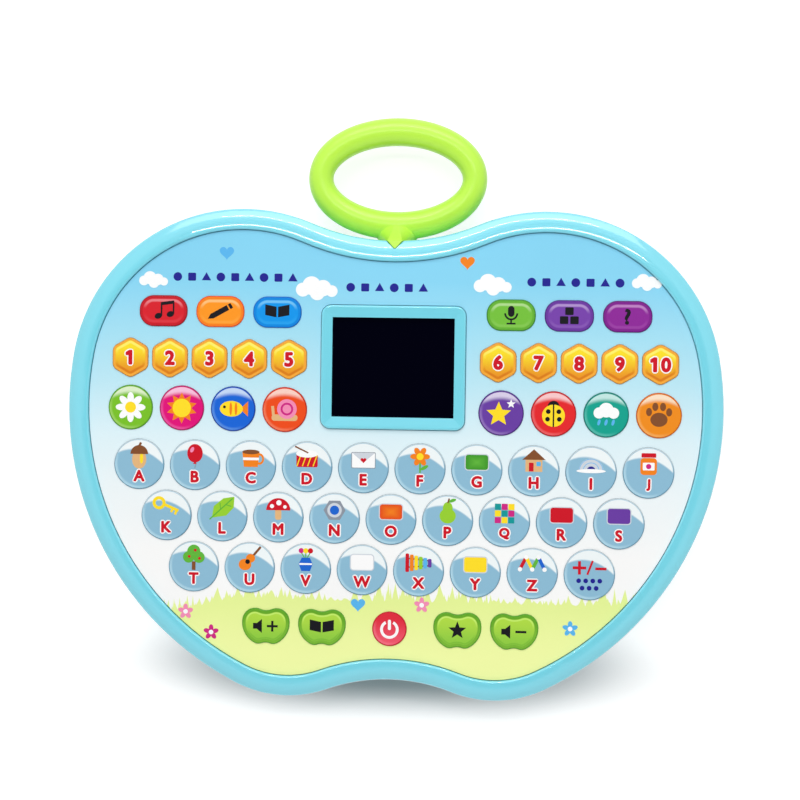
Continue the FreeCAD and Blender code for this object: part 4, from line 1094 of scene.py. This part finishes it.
def draw_cloud_rain(sheet):
    for x, y, r in ((-2.4, 0.6, 1.9), (0, 1.6, 2.5), (2.5, 0.6, 1.9)):
        sheet.shape(ellipse(x, y, r, r), "white")
    for x in (-2.4, 0, 2.4):
        sheet.shape(ellipse(x, -2.6, 0.5, 1.1, turn=-15), "sky")


def draw_print(sheet):
    sheet.shape(ellipse(0, -1.4, 2.9, 2.4), "brown")
    for x, y in ((-3.4, 1.2), (-1.3, 3.0), (1.3, 3.0), (3.4, 1.2)):
        sheet.shape(ellipse(x, y, 1.0, 1.4), "brown")


PICTURE_DRAWINGS = {
    "green": draw_daisy,
    "pink": draw_sun,
    "blue": draw_fish,
    "orange": draw_snail,
    "purple": draw_star_pair,
    "red": draw_ladybird,
    "teal": draw_cloud_rain,
    "amber": draw_print,
}


def draw_note(sheet):
    sheet.shape(ellipse(-1.6, -1.6, 1.2, 0.9, turn=20), "black")
    sheet.shape(ellipse(2.2, -1.0, 1.2, 0.9, turn=20), "black")
    sheet.shape(bar(-0.6, -1.4, -0.6, 2.4, 0.5), "black")
    sheet.shape(bar(3.2, -0.8, 3.2, 3.0, 0.5), "black")
    sheet.shape(bar(-0.8, 2.2, 3.4, 2.8, 1.0), "black")


def draw_pencil(sheet):
    sheet.shape(bar(-2.6, -1.5, 2.4, 1.3, 1.7), "black")
    sheet.shape([(-3.9, -2.3), (-2.2, -2.2), (-3.0, -0.7)], "black")
    sheet.shape(bar(2.8, 1.5, 3.6, 2.0, 1.7), "black")


def draw_book(sheet):
    page = ((0.25, -1.6), (3.8, -0.9), (3.8, 2.4), (0.25, 1.7))
    for side in (1, -1):
        sheet.shape([(x * side, y) for x, y in page], "black")


def draw_microphone(sheet):
    sheet.shape(panel(0, 1.2, 2.0, 3.4, 1.0), "black")
    sheet.shape(bar(0, -2.6, 0, -1.2, 0.5), "black")
    sheet.shape(bar(-1.4, -2.6, 1.4, -2.6, 0.5), "black")
    arc = wedge(0, 0.6, 1.6, 180, 360)[1:]
    sheet.strip([(x * 1.35, 0.6 + (y - 0.6) * 1.35) for x, y in arc], arc, "black")


def draw_blocks(sheet):
    for x, y in ((-1.6, -1.3), (1.6, -1.3), (0, 1.5)):
        sheet.shape(panel(x, y, 2.6, 2.4, 0.3), "black")


def draw_question(sheet):
    sheet.text("?", SIGN_H, "black")


MODE_DRAWINGS = {
    "red": draw_note,
    "orange": draw_pencil,
    "blue": draw_book,
    "green": draw_microphone,
    "violet": draw_blocks,
    "magenta": draw_question,
}


def draw_loudspeaker(sheet):
    sheet.shape([(-4.0, -0.9), (-2.8, -0.9), (-1.2, -2.2), (-1.2, 2.2), (-2.8, 0.9), (-4.0, 0.9)], "black")


def draw_louder(sheet):
    draw_loudspeaker(sheet)
    sheet.shape(bar(0.4, 0, 3.8, 0, 0.7), "black")
    sheet.shape(bar(2.1, -1.7, 2.1, 1.7, 0.7), "black")


def draw_quieter(sheet):
    draw_loudspeaker(sheet)
    sheet.shape(bar(0.4, 0, 3.8, 0, 0.7), "black")


def draw_badge(sheet):
    sheet.shape(star(0, 0, 2.9, 1.25), "black")


APPLE_DRAWINGS = {
    "volume_up_key": draw_louder,
    "book_key": draw_book,
    "star_key": draw_badge,
    "volume_down_key": draw_quieter,
}


def draw_power(sheet):
    ring = wedge(0, -0.2, 3.2, 118, 422, 40)[1:]
    sheet.strip(ring, [(x * 0.7, -0.2 + (y + 0.2) * 0.7) for x, y in ring], "white")
    sheet.shape(panel(0, 1.4, 1.05, 3.6, 0.5), "white")


def draw_plus_minus(sheet):
    sheet.shape(bar(-5.7, 2.3, -1.1, 2.3, 1.0), "red")
    sheet.shape(bar(-3.4, 0.0, -3.4, 4.6, 1.0), "red")
    sheet.shape(bar(-0.7, 0.0, 1.1, 4.8, 0.7), "red")
    sheet.shape(bar(2.0, 2.1, 5.8, 2.1, 0.9), "red")
    for x in (-3.6, -1.2, 1.2, 3.6):
        sheet.shape(ellipse(x, -2.1, 0.8, 0.8), "navy")
    for x in (-2.4, 0.0, 2.4):
        sheet.shape(ellipse(x, -4.6, 0.8, 0.8), "navy")


def key_outline(node):
    """A key's outline from its CAD node's lower edge, in millimetres about the key's middle."""
    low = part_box(node)[0]
    middle = node_centre(node)
    points = set()
    for corner in frame["nodes"][node].data.vertices:
        if corner.co.z - low.z < SAME_HEIGHT:
            points.add((round((corner.co.x - middle.x) / MM, 3), round((corner.co.y - middle.y) / MM, 3)))
    around = sorted(points, key=lambda point: math.atan2(point[1], point[0]))
    return drawn_in(around, -KEY_SPREAD)


def drawn_in(points, distance):
    """An outline moved inwards by a distance."""
    moved = []
    for before, here, after in zip(points[-1:] + points[:-1], points, points[1:] + points[:1]):
        dx, dy = after[0] - before[0], after[1] - before[1]
        length = math.hypot(dx, dy)
        moved.append((here[0] - dy / length * distance, here[1] + dx / length * distance))
    return moved


def key_mesh(name, outline, bottom, top):
    """A key with a rounded top edge. Its "rim" attribute is the distance from the edge, in millimetres."""
    half_w = max(abs(x) for x, _ in outline)
    half_h = max(abs(y) for _, y in outline)
    rings = [(0.0, bottom / MM), (0.0, top / MM - KEY_EDGE)]
    for step in range(1, ROUNDING_STEPS + 1):
        turn = math.pi / 2 * step / ROUNDING_STEPS
        rings.append((KEY_EDGE * (1 - math.cos(turn)), top / MM - KEY_EDGE * (1 - math.sin(turn))))
    rings += [(inset, top / MM) for inset in KEY_RINGS]
    count = len(outline)
    corners, rims, faces = [], [], [tuple(reversed(range(count)))]
    for inset, z in rings:
        corners += [(x * MM, y * MM, z * MM) for x, y in drawn_in(outline, inset)]
        rims += [inset] * count
    for ring in range(len(rings) - 1):
        for i in range(count):
            j = (i + 1) % count
            a, b = ring * count, (ring + 1) * count
            faces.append((a + i, a + j, b + j, b + i))
    last = (len(rings) - 1) * count
    faces.append(tuple(range(last, last + count)))
    mesh = bpy.data.meshes.new(name)
    mesh.from_pydata(corners, [], faces)
    rim = mesh.attributes.new("rim", "FLOAT", "POINT")
    rim.data.foreach_set("value", rims)
    layer = mesh.uv_layers.new(name="face")
    for loop in mesh.loops:
        x, y, _ = corners[loop.vertex_index]
        layer.data[loop.index].uv = ((x / MM / half_w + 1) / 2, (y / MM / half_h + 1) / 2)
    mesh.polygons.foreach_set("use_smooth", [len(face.vertices) == 4 for face in mesh.polygons])
    mesh.update()
    return mesh


def place_key(node, material):
    """Makes the piece that stands for a key node with one key, and lets it ride on the key's body."""
    low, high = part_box(node)
    middle = node_centre(node)
    mesh = key_mesh(node + "_face", key_outline(node), low.z, high.z)
    for corner in mesh.vertices:
        corner.co.x += middle.x
        corner.co.y += middle.y
    mesh.materials.append(material)
    piece = bpy.data.objects.new(node + "_face", mesh)
    bpy.context.collection.objects.link(piece)
    finish_key(piece, node)


def finish_key(piece, node):
    """Ties a key's piece to its key's body and hides the key's own node."""
    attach(piece, node + "_body")
    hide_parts(node)


def row_tree():
    """Geometry nodes: copies of one object along a straight row, made into one mesh."""
    found = bpy.data.node_groups.get("Key Row")
    if found:
        return found
    tree = bpy.data.node_groups.new("Key Row", "GeometryNodeTree")
    kinds = {"Geometry": "Geometry", "Key": "Object", "Count": "Int"}
    kinds.update({"Start": "Vector", "Pitch": "Vector", "Material": "Material"})
    add_sockets(tree, "INPUT", kinds)
    add_sockets(tree, "OUTPUT", {"Geometry": "Geometry"})
    given = tree.nodes.new("NodeGroupInput").outputs
    result = tree.nodes.new("NodeGroupOutput")
    places = {"Count": given["Count"], "Start Location": given["Start"], "Offset": given["Pitch"]}
    line = add_node(tree, "GeometryNodeMeshLine", places)
    key = add_node(tree, "GeometryNodeObjectInfo", {"Object": given["Key"]})
    repeated = {"Points": line.outputs["Mesh"], "Instance": key.outputs["Geometry"]}
    copies = add_node(tree, "GeometryNodeInstanceOnPoints", repeated)
    real = add_node(tree, "GeometryNodeRealizeInstances", {"Geometry": copies.outputs["Instances"]})
    coat = {"Geometry": real.outputs["Geometry"], "Material": given["Material"]}
    painted = add_node(tree, "GeometryNodeSetMaterial", coat)
    tree.links.new(painted.outputs["Geometry"], result.inputs["Geometry"])
    return tree


def input_identifiers(tree):
    """Socket name to identifier of a tree's inputs."""
    return {
        item.name: item.identifier
        for item in tree.interface.items_tree
        if item.item_type == "SOCKET" and item.in_out == "INPUT"
    }


def row_piece(name, key, count, start, pitch, material):
    """A plain mesh object with the copies that the Key Row tree makes."""
    tree = row_tree()
    names = input_identifiers(tree)
    holder = bpy.data.objects.new(name + "_row", bpy.data.meshes.new(name + "_row"))
    bpy.context.collection.objects.link(holder)
    modifier = holder.modifiers.new("Key Row", "NODES")
    modifier.node_group = tree
    values = {"Key": key, "Count": count, "Start": start, "Pitch": pitch, "Material": material}
    for socket, value in values.items():
        modifier[names[socket]] = value
    bpy.context.view_layer.update()
    graph = bpy.context.evaluated_depsgraph_get()
    mesh = bpy.data.meshes.new_from_object(holder.evaluated_get(graph))
    mesh.name = name
    bpy.data.objects.remove(holder)
    piece = bpy.data.objects.new(name, mesh)
    bpy.context.collection.objects.link(piece)
    return piece


class TOY_OT_case(bpy.types.Operator):
    """Gives the shells, the handle, the window and the inner pieces their materials"""

    bl_idname = "toy.case"
    bl_label = "Dress the Case"

    def execute(self, context):
        settings = context.scene.toy_surface
        special = {
            "shell_blue": shell_material(settings),
            "handle_green": handle_material(settings),
            "smoked_window": window_material(),
            "board_green": board_material(),
        }
        by_slot = {}
        for row in frame["record"]["materials"]:
            slot, colour = row["slot"], tuple(row["base_color"][:3]) + (1.0,)
            if slot in special:
                by_slot[slot] = special[slot]
            elif row["class"] in METAL_CLASSES:
                by_slot[slot] = metal_material(slot + "_metal", colour, METAL_ROUGHNESS)
            else:
                by_slot[slot] = plastic_material(slot + "_plastic", colour, INNER_ROUGHNESS)
        for row in frame["record"]["subparts"]:
            node = frame["nodes"][row["node"]]
            node.data.materials.clear()
            node.data.materials.append(by_slot[row["material_slot"]])
        return {"FINISHED"}


def draw_cloud(sheet):
    """A small flat-bottomed cloud."""
    for x, y, r in CLOUD_PUFFS:
        sheet.shape(ellipse(x, y, r, r), "white")


def draw_blossom(sheet, ink):
    """A five-petalled flower."""
    for i in range(5):
        turn = 90 + 72 * i
        x, y = 1.5 * math.cos(math.radians(turn)), 1.5 * math.sin(math.radians(turn))
        sheet.shape(ellipse(x, y, 1.2, 0.8, turn=turn), ink)
    sheet.shape(ellipse(0, 0, 0.8, 0.8), "white")


def draw_tokens(sheet, count, pitch):
    """A row of plain shapes."""
    for i in range(count):
        x = (i - (count - 1) / 2) * pitch
        shapes = (ellipse(x, 0, 1.2, 1.2), panel(x, 0, 2.2, 2.2, 0.3), star(x, -0.2, 1.5, 1.5 / 2, 3))
        sheet.shape(shapes[i % 3], "navy")


class TOY_OT_film(bpy.types.Operator):
    """Prints the face film and its small decorations"""

    bl_idname = "toy.film"
    bl_label = "Print the Film"

    def execute(self, context):
        settings = context.scene.toy_surface
        film = frame["nodes"]["graphic_overlay"]
        film.data.materials.clear()
        film.data.materials.append(film_material(settings))
        origin = face_origin()
        sheet = PrintSheet(origin.z)

        def spot(x, y, scale=1.0):
            return sheet.at(origin + Vector((x * MM, y * MM, 0.0)), scale)

        for x, y, scale in CLOUDS:
            draw_cloud(spot(x, y, scale))
        for x, y, ink in BLOSSOMS:
            draw_blossom(spot(x, y), ink)
        for x, y, ink in HEARTS:
            spot(x, y).shape(heart(0, 0, HEART_W), ink)
        for x, y, count in TOKEN_ROWS:
            draw_tokens(spot(x, y, TOKEN_SCALE), count, TOKEN_PITCH)
        sheet.make("film_decorations", "case", ink_material(settings))
        return {"FINISHED"}


def letter_material(settings):
    """The blue-grey disc with a white cap that the letter keys share."""
    cap = {"Cap Reach": 0.58, "Cap Curve": 0.386, "Cap Lean": 0.25}
    shares = {"Border Width": 0.3, "Glow Strength": 0.9, **cap}
    return key_material(
        "letter_key_print",
        settings,
        face=(140, 186, 210),
        border=(104, 152, 178),
        shares=shares,
        border_top=(192, 204, 208),
        cap=(238, 245, 246),
        glow=(176, 214, 230),
    )


class TOY_OT_letter_keys(bpy.types.Operator):
    """Makes the three rows of letter keys and prints them"""

    bl_idname = "toy.letter_keys"
    bl_label = "Make the Letter Keys"

    def execute(self, context):
        settings = context.scene.toy_surface
        material = letter_material(settings)
        ink = ink_material(settings)
        for number, letters in enumerate(LETTER_ROWS, start=1):
            node = f"letter_keys_row_{number}"
            low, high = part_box(node)
            diameter = (high.y - low.y) / MM
            radius = diameter / 2 + KEY_SPREAD
            outline = ellipse(0, 0, radius, radius, CIRCLE_POINTS)
            mesh = key_mesh("letter_key", outline, low.z, high.z)
            key = bpy.data.objects.new("letter_key", mesh)
            context.collection.objects.link(key)
            pitch = (high.x - low.x - diameter * MM) / (len(letters) - 1)
            start = Vector((low.x + diameter * MM / 2, (low.y + high.y) / 2, 0.0))
            step = Vector((pitch, 0.0, 0.0))
            piece = row_piece(node + "_faces", key, len(letters), start, step, material)
            bpy.data.objects.remove(key)
            finish_key(piece, node)
            sheet = PrintSheet(high.z)
            for i, letter in enumerate(letters):
                sheet.at(start + step * i)
                LETTER_PICTURES[letter](sheet)
                sheet.text(letter, LETTER_H, "red", "white", 0.0, LETTER_Y)
            sheet.make(node + "_print", node + "_body", ink)
        return {"FINISHED"}


def mixed(colour, other, share):
    """A display colour moved towards another by a share."""
    return tuple(a + (b - a) * share for a, b in zip(colour, other))


def mode_material(settings, node, face, line):
    """A pill key: a darker edge line and border, and a paler line inside them."""
    return key_material(
        node + "_print_face",
        settings,
        face=face,
        border=mixed(face, line, 0.35),
        shares={"Line Width": 0.35, "Border Width": 1.1, "Inner Width": 1.35},
        line=line,
        inner=mixed(face, WHITE, 0.42),
        inner_foot=mixed(face, WHITE, 0.1),
    )


def number_material(settings):
    """The honey-coloured hexagon that the number keys share."""
    return key_material(
        "number_key_print",
        settings,
        face=(249, 224, 44),
        border=(243, 168, 58),
        shares={"Line Width": 0.3, "Border Width": 1.0, "Inner Width": 1.2},
        foot=(233, 148, 36),
        line=(208, 142, 62),
        inner=(253, 238, 112),
        inner_foot=(216, 124, 26),
    )


def picture_material(settings, node, face, border):
    """A round picture key: a pale cap at the top and a light lower edge."""
    cap = {"Cap Reach": 0.66, "Cap Curve": 0.3, "Cap Blur": 0.25}
    return key_material(
        node + "_print_face",
        settings,
        face=face,
        border=border,
        shares={"Border Width": 0.4, "Glow Strength": 0.8, **cap},
        cap=mixed(face, WHITE, 0.75),
        glow=mixed(face, WHITE, 0.3),
    )


def apple_material(settings):
    """The green apple that four keys share."""
    return key_material(
        "apple_key_print",
        settings,
        face=(174, 217, 70),
        border=(120, 180, 54),
        shares={"Line Width": 0.35, "Border Width": 1.25, "Inner Width": 0.8},
        foot=(142, 202, 66),
        border_top=(100, 166, 42),
        line=(88, 158, 44),
        inner=(196, 236, 108),
        inner_foot=(126, 188, 58),
    )


def power_material(settings):
    """The red disc of the power key."""
    return key_material(
        "power_key_print",
        settings,
        face=(222, 44, 62),
        border=(196, 24, 46),
        shares={"Border Width": 0.4, "Glow Strength": 0.5},
        foot=(238, 84, 106),
        glow=(246, 130, 148),
    )


def number_drawing(text):
    """A drawing function for a number of one or two figures."""
    middle = (len(text) - 1) / 2

    def draw(sheet):
        for i, figure in enumerate(text):
            x = FIGURE_STEP * (i - middle)
            sheet.text(figure, FIGURE_H, "red", "white", x, 0.0, FIGURE_BOLD)

    return draw


def print_key(node, material, ink, draw, scale=1.0):
    """Makes one key and the print on it."""
    place_key(node, material)
    sheet = PrintSheet(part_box(node)[1].z)
    draw(sheet.at(node_centre(node), scale))
    sheet.make(node + "_print", node + "_body", ink)


class TOY_OT_shaped_keys(bpy.types.Operator):
    """Makes the mode, number, picture, apple and power keys and prints them"""

    bl_idname = "toy.shaped_keys"
    bl_label = "Make the Shaped Keys"

    def execute(self, context):
        settings = context.scene.toy_surface
        ink = ink_material(settings)
        for name, (face, line) in MODE_COLOURS.items():
            node = f"mode_key_{name}"
            print_key(node, mode_material(settings, node, face, line), ink, MODE_DRAWINGS[name], SIGN_SCALE)
        number_print = number_material(settings)
        for number in range(1, NUMBER_KEYS + 1):
            print_key(f"number_key_{number}", number_print, ink, number_drawing(str(number)))
        for name, (face, border) in PICTURE_COLOURS.items():
            node = f"picture_key_{name}"
            print_key(node, picture_material(settings, node, face, border), ink, PICTURE_DRAWINGS[name])
        apple_print = apple_material(settings)
        for node, draw in APPLE_DRAWINGS.items():
            print_key(node, apple_print, ink, draw, SIGN_SCALE)
        print_key("power_key", power_material(settings), ink, draw_power)
        print_key("plus_minus_key", letter_material(settings), ink, draw_plus_minus)
        return {"FINISHED"}


def add_lamp(context, name, place, target, size, power, mirrored):
    """A rectangular lamp aimed at a point, which glossy surfaces mirror or not."""
    lamp = bpy.data.lights.new(name, "AREA")
    lamp.shape = "RECTANGLE"
    lamp.size, lamp.size_y = size
    lamp.energy = power
    holder = bpy.data.objects.new(name, lamp)
    holder.location = place
    aim = Vector(target) - Vector(place)
    holder.rotation_euler = aim.to_track_quat("-Z", "Y").to_euler()
    holder.visible_glossy = mirrored
    context.collection.objects.link(holder)


def add_floor(context):
    """A large pale floor; it glows white, but for an oval at the object's lower edge, where the darker
    floor shows as a painted shadow over the shadow that the lamps cast.
    """
    half = FLOOR_W / 2
    corners = [(-half, -half, 0), (half, -half, 0), (half, half, 0), (-half, half, 0)]
    mesh = bpy.data.meshes.new("floor")
    mesh.from_pydata(corners, [], [(0, 1, 2, 3)])
    material, tree, output = new_material("floor_paper")
    colour = linear(*FLOOR_COLOUR)
    shader = surface(tree, output, colour, FLOOR_ROUGHNESS, 0.0, specular=FLOOR_GLOSS)
    shader.inputs["Emission Color"].default_value = PURE_WHITE
    place = add_node(tree, "ShaderNodeTexCoord").outputs["Object"]
    # Painted shadow: the glow is left out in an oval under the object's lower edge, so the floor is darker
    # there.
    oval = {"Vector": place, "Location": (0.0, -SHADE_Y, 0.0), "Scale": (SHADE_SQUASH, 1.0, 0.0)}
    offset = add_node(tree, "ShaderNodeMapping", oval).outputs["Vector"]
    from_painted_shadow = add_node(tree, "ShaderNodeVectorMath", {0: offset}, operation="LENGTH").outputs["Value"]
    graded = math_node(tree, "MULTIPLY", ramp(tree, from_painted_shadow, SHADE_NEAR, SHADE_FAR), FLOOR_GLOW)
    glow = math_node(tree, "MULTIPLY", white_rays(tree), graded)
    tree.links.new(glow, shader.inputs["Emission Strength"])
    mesh.materials.append(material)
    floor = bpy.data.objects.new("floor", mesh)
    floor.location.z = -FLOOR_DROP
    context.collection.objects.link(floor)


def white_rays(tree):
    """One for the rays that show the background: from the camera, off a gloss or through glass."""
    path = tree.nodes.new("ShaderNodeLightPath").outputs
    looked = math_node(tree, "MAXIMUM", path["Is Glossy Ray"], path["Is Transmission Ray"])
    return math_node(tree, "MAXIMUM", path["Is Camera Ray"], looked)


def add_sky(scene, settings):
    """Light that grows towards the horizon; the background shows white, but for the part overhead."""
    world = bpy.data.worlds.new("sky")
    world.use_nodes = True
    tree = world.node_tree
    tree.nodes.clear()
    output = tree.nodes.new("ShaderNodeOutputWorld")
    direction = add_node(tree, "ShaderNodeTexCoord").outputs["Generated"]
    up = add_node(tree, "ShaderNodeSeparateXYZ", {"Vector": direction}).outputs["Z"]
    fall = settings.sky_strength - settings.horizon_strength
    level = math_node(tree, "MULTIPLY_ADD", up, fall, settings.horizon_strength)
    missing = math_node(tree, "SUBTRACT", 1.0, level)
    shown = math_node(tree, "MULTIPLY", white_rays(tree), ramp(tree, up, *OVERHEAD))
    level = math_node(tree, "MULTIPLY_ADD", shown, missing, level)
    back = add_node(tree, "ShaderNodeBackground", {"Color": PURE_WHITE, "Strength": level})
    tree.links.new(back.outputs["Background"], output.inputs["Surface"])
    scene.world = world


class TOY_OT_stage(bpy.types.Operator):
    """Sets the camera, the lights, the floor and the background"""

    bl_idname = "toy.stage"
    bl_label = "Set the Stage"

    def execute(self, context):
        settings = context.scene.toy_stage
        scene = context.scene
        scene.view_settings.view_transform = "Standard"
        camera = bpy.data.cameras.new("camera")
        camera.lens = settings.lens
        camera.sensor_width = SENSOR_W
        view = bpy.data.objects.new("camera", camera)
        view.location = face_origin() + Vector(CAMERA_PLACE) * MM
        view.rotation_euler = [math.radians(angle) for angle in CAMERA_TURN]
        context.collection.objects.link(view)
        scene.camera = view
        for name, place, target, size, mirrored in LAMPS:
            add_lamp(context, name, place, target, size, getattr(settings, name), mirrored)
        add_floor(context)
        add_sky(scene, settings)
        return {"FINISHED"}


class TOY_PT_panel(bpy.types.Panel):
    """Lists the settings and the steps"""

    bl_idname = "TOY_PT_panel"
    bl_label = "Toy Learning Computer"
    bl_space_type = "VIEW_3D"
    bl_region_type = "UI"
    bl_category = "Toy"

    def draw(self, context):
        layout = self.layout
        for settings in (context.scene.toy_surface, context.scene.toy_stage):
            for key in settings.__annotations__:
                layout.prop(settings, key)
        for operator in OPERATORS:
            layout.operator(operator.bl_idname)


OPERATORS = (TOY_OT_case, TOY_OT_film, TOY_OT_letter_keys, TOY_OT_shaped_keys, TOY_OT_stage)
CLASSES = (ToySurfaceSettings, ToyStageSettings, *OPERATORS, TOY_PT_panel)


def register():
    """Adds the classes and their settings."""
    for item in CLASSES:
        bpy.utils.register_class(item)
    bpy.types.Scene.toy_surface = bpy.props.PointerProperty(type=ToySurfaceSettings)
    bpy.types.Scene.toy_stage = bpy.props.PointerProperty(type=ToyStageSettings)


def unregister():
    """Removes the settings and the classes."""
    del bpy.types.Scene.toy_stage
    del bpy.types.Scene.toy_surface
    for item in reversed(CLASSES):
        bpy.utils.unregister_class(item)


def main():
    """Makes the looks step by step."""
    register()
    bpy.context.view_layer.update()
    bpy.ops.toy.case()
    bpy.ops.toy.film()
    bpy.ops.toy.letter_keys()
    bpy.ops.toy.shaped_keys()
    bpy.ops.toy.stage()


if __name__ == "__main__":
    main()
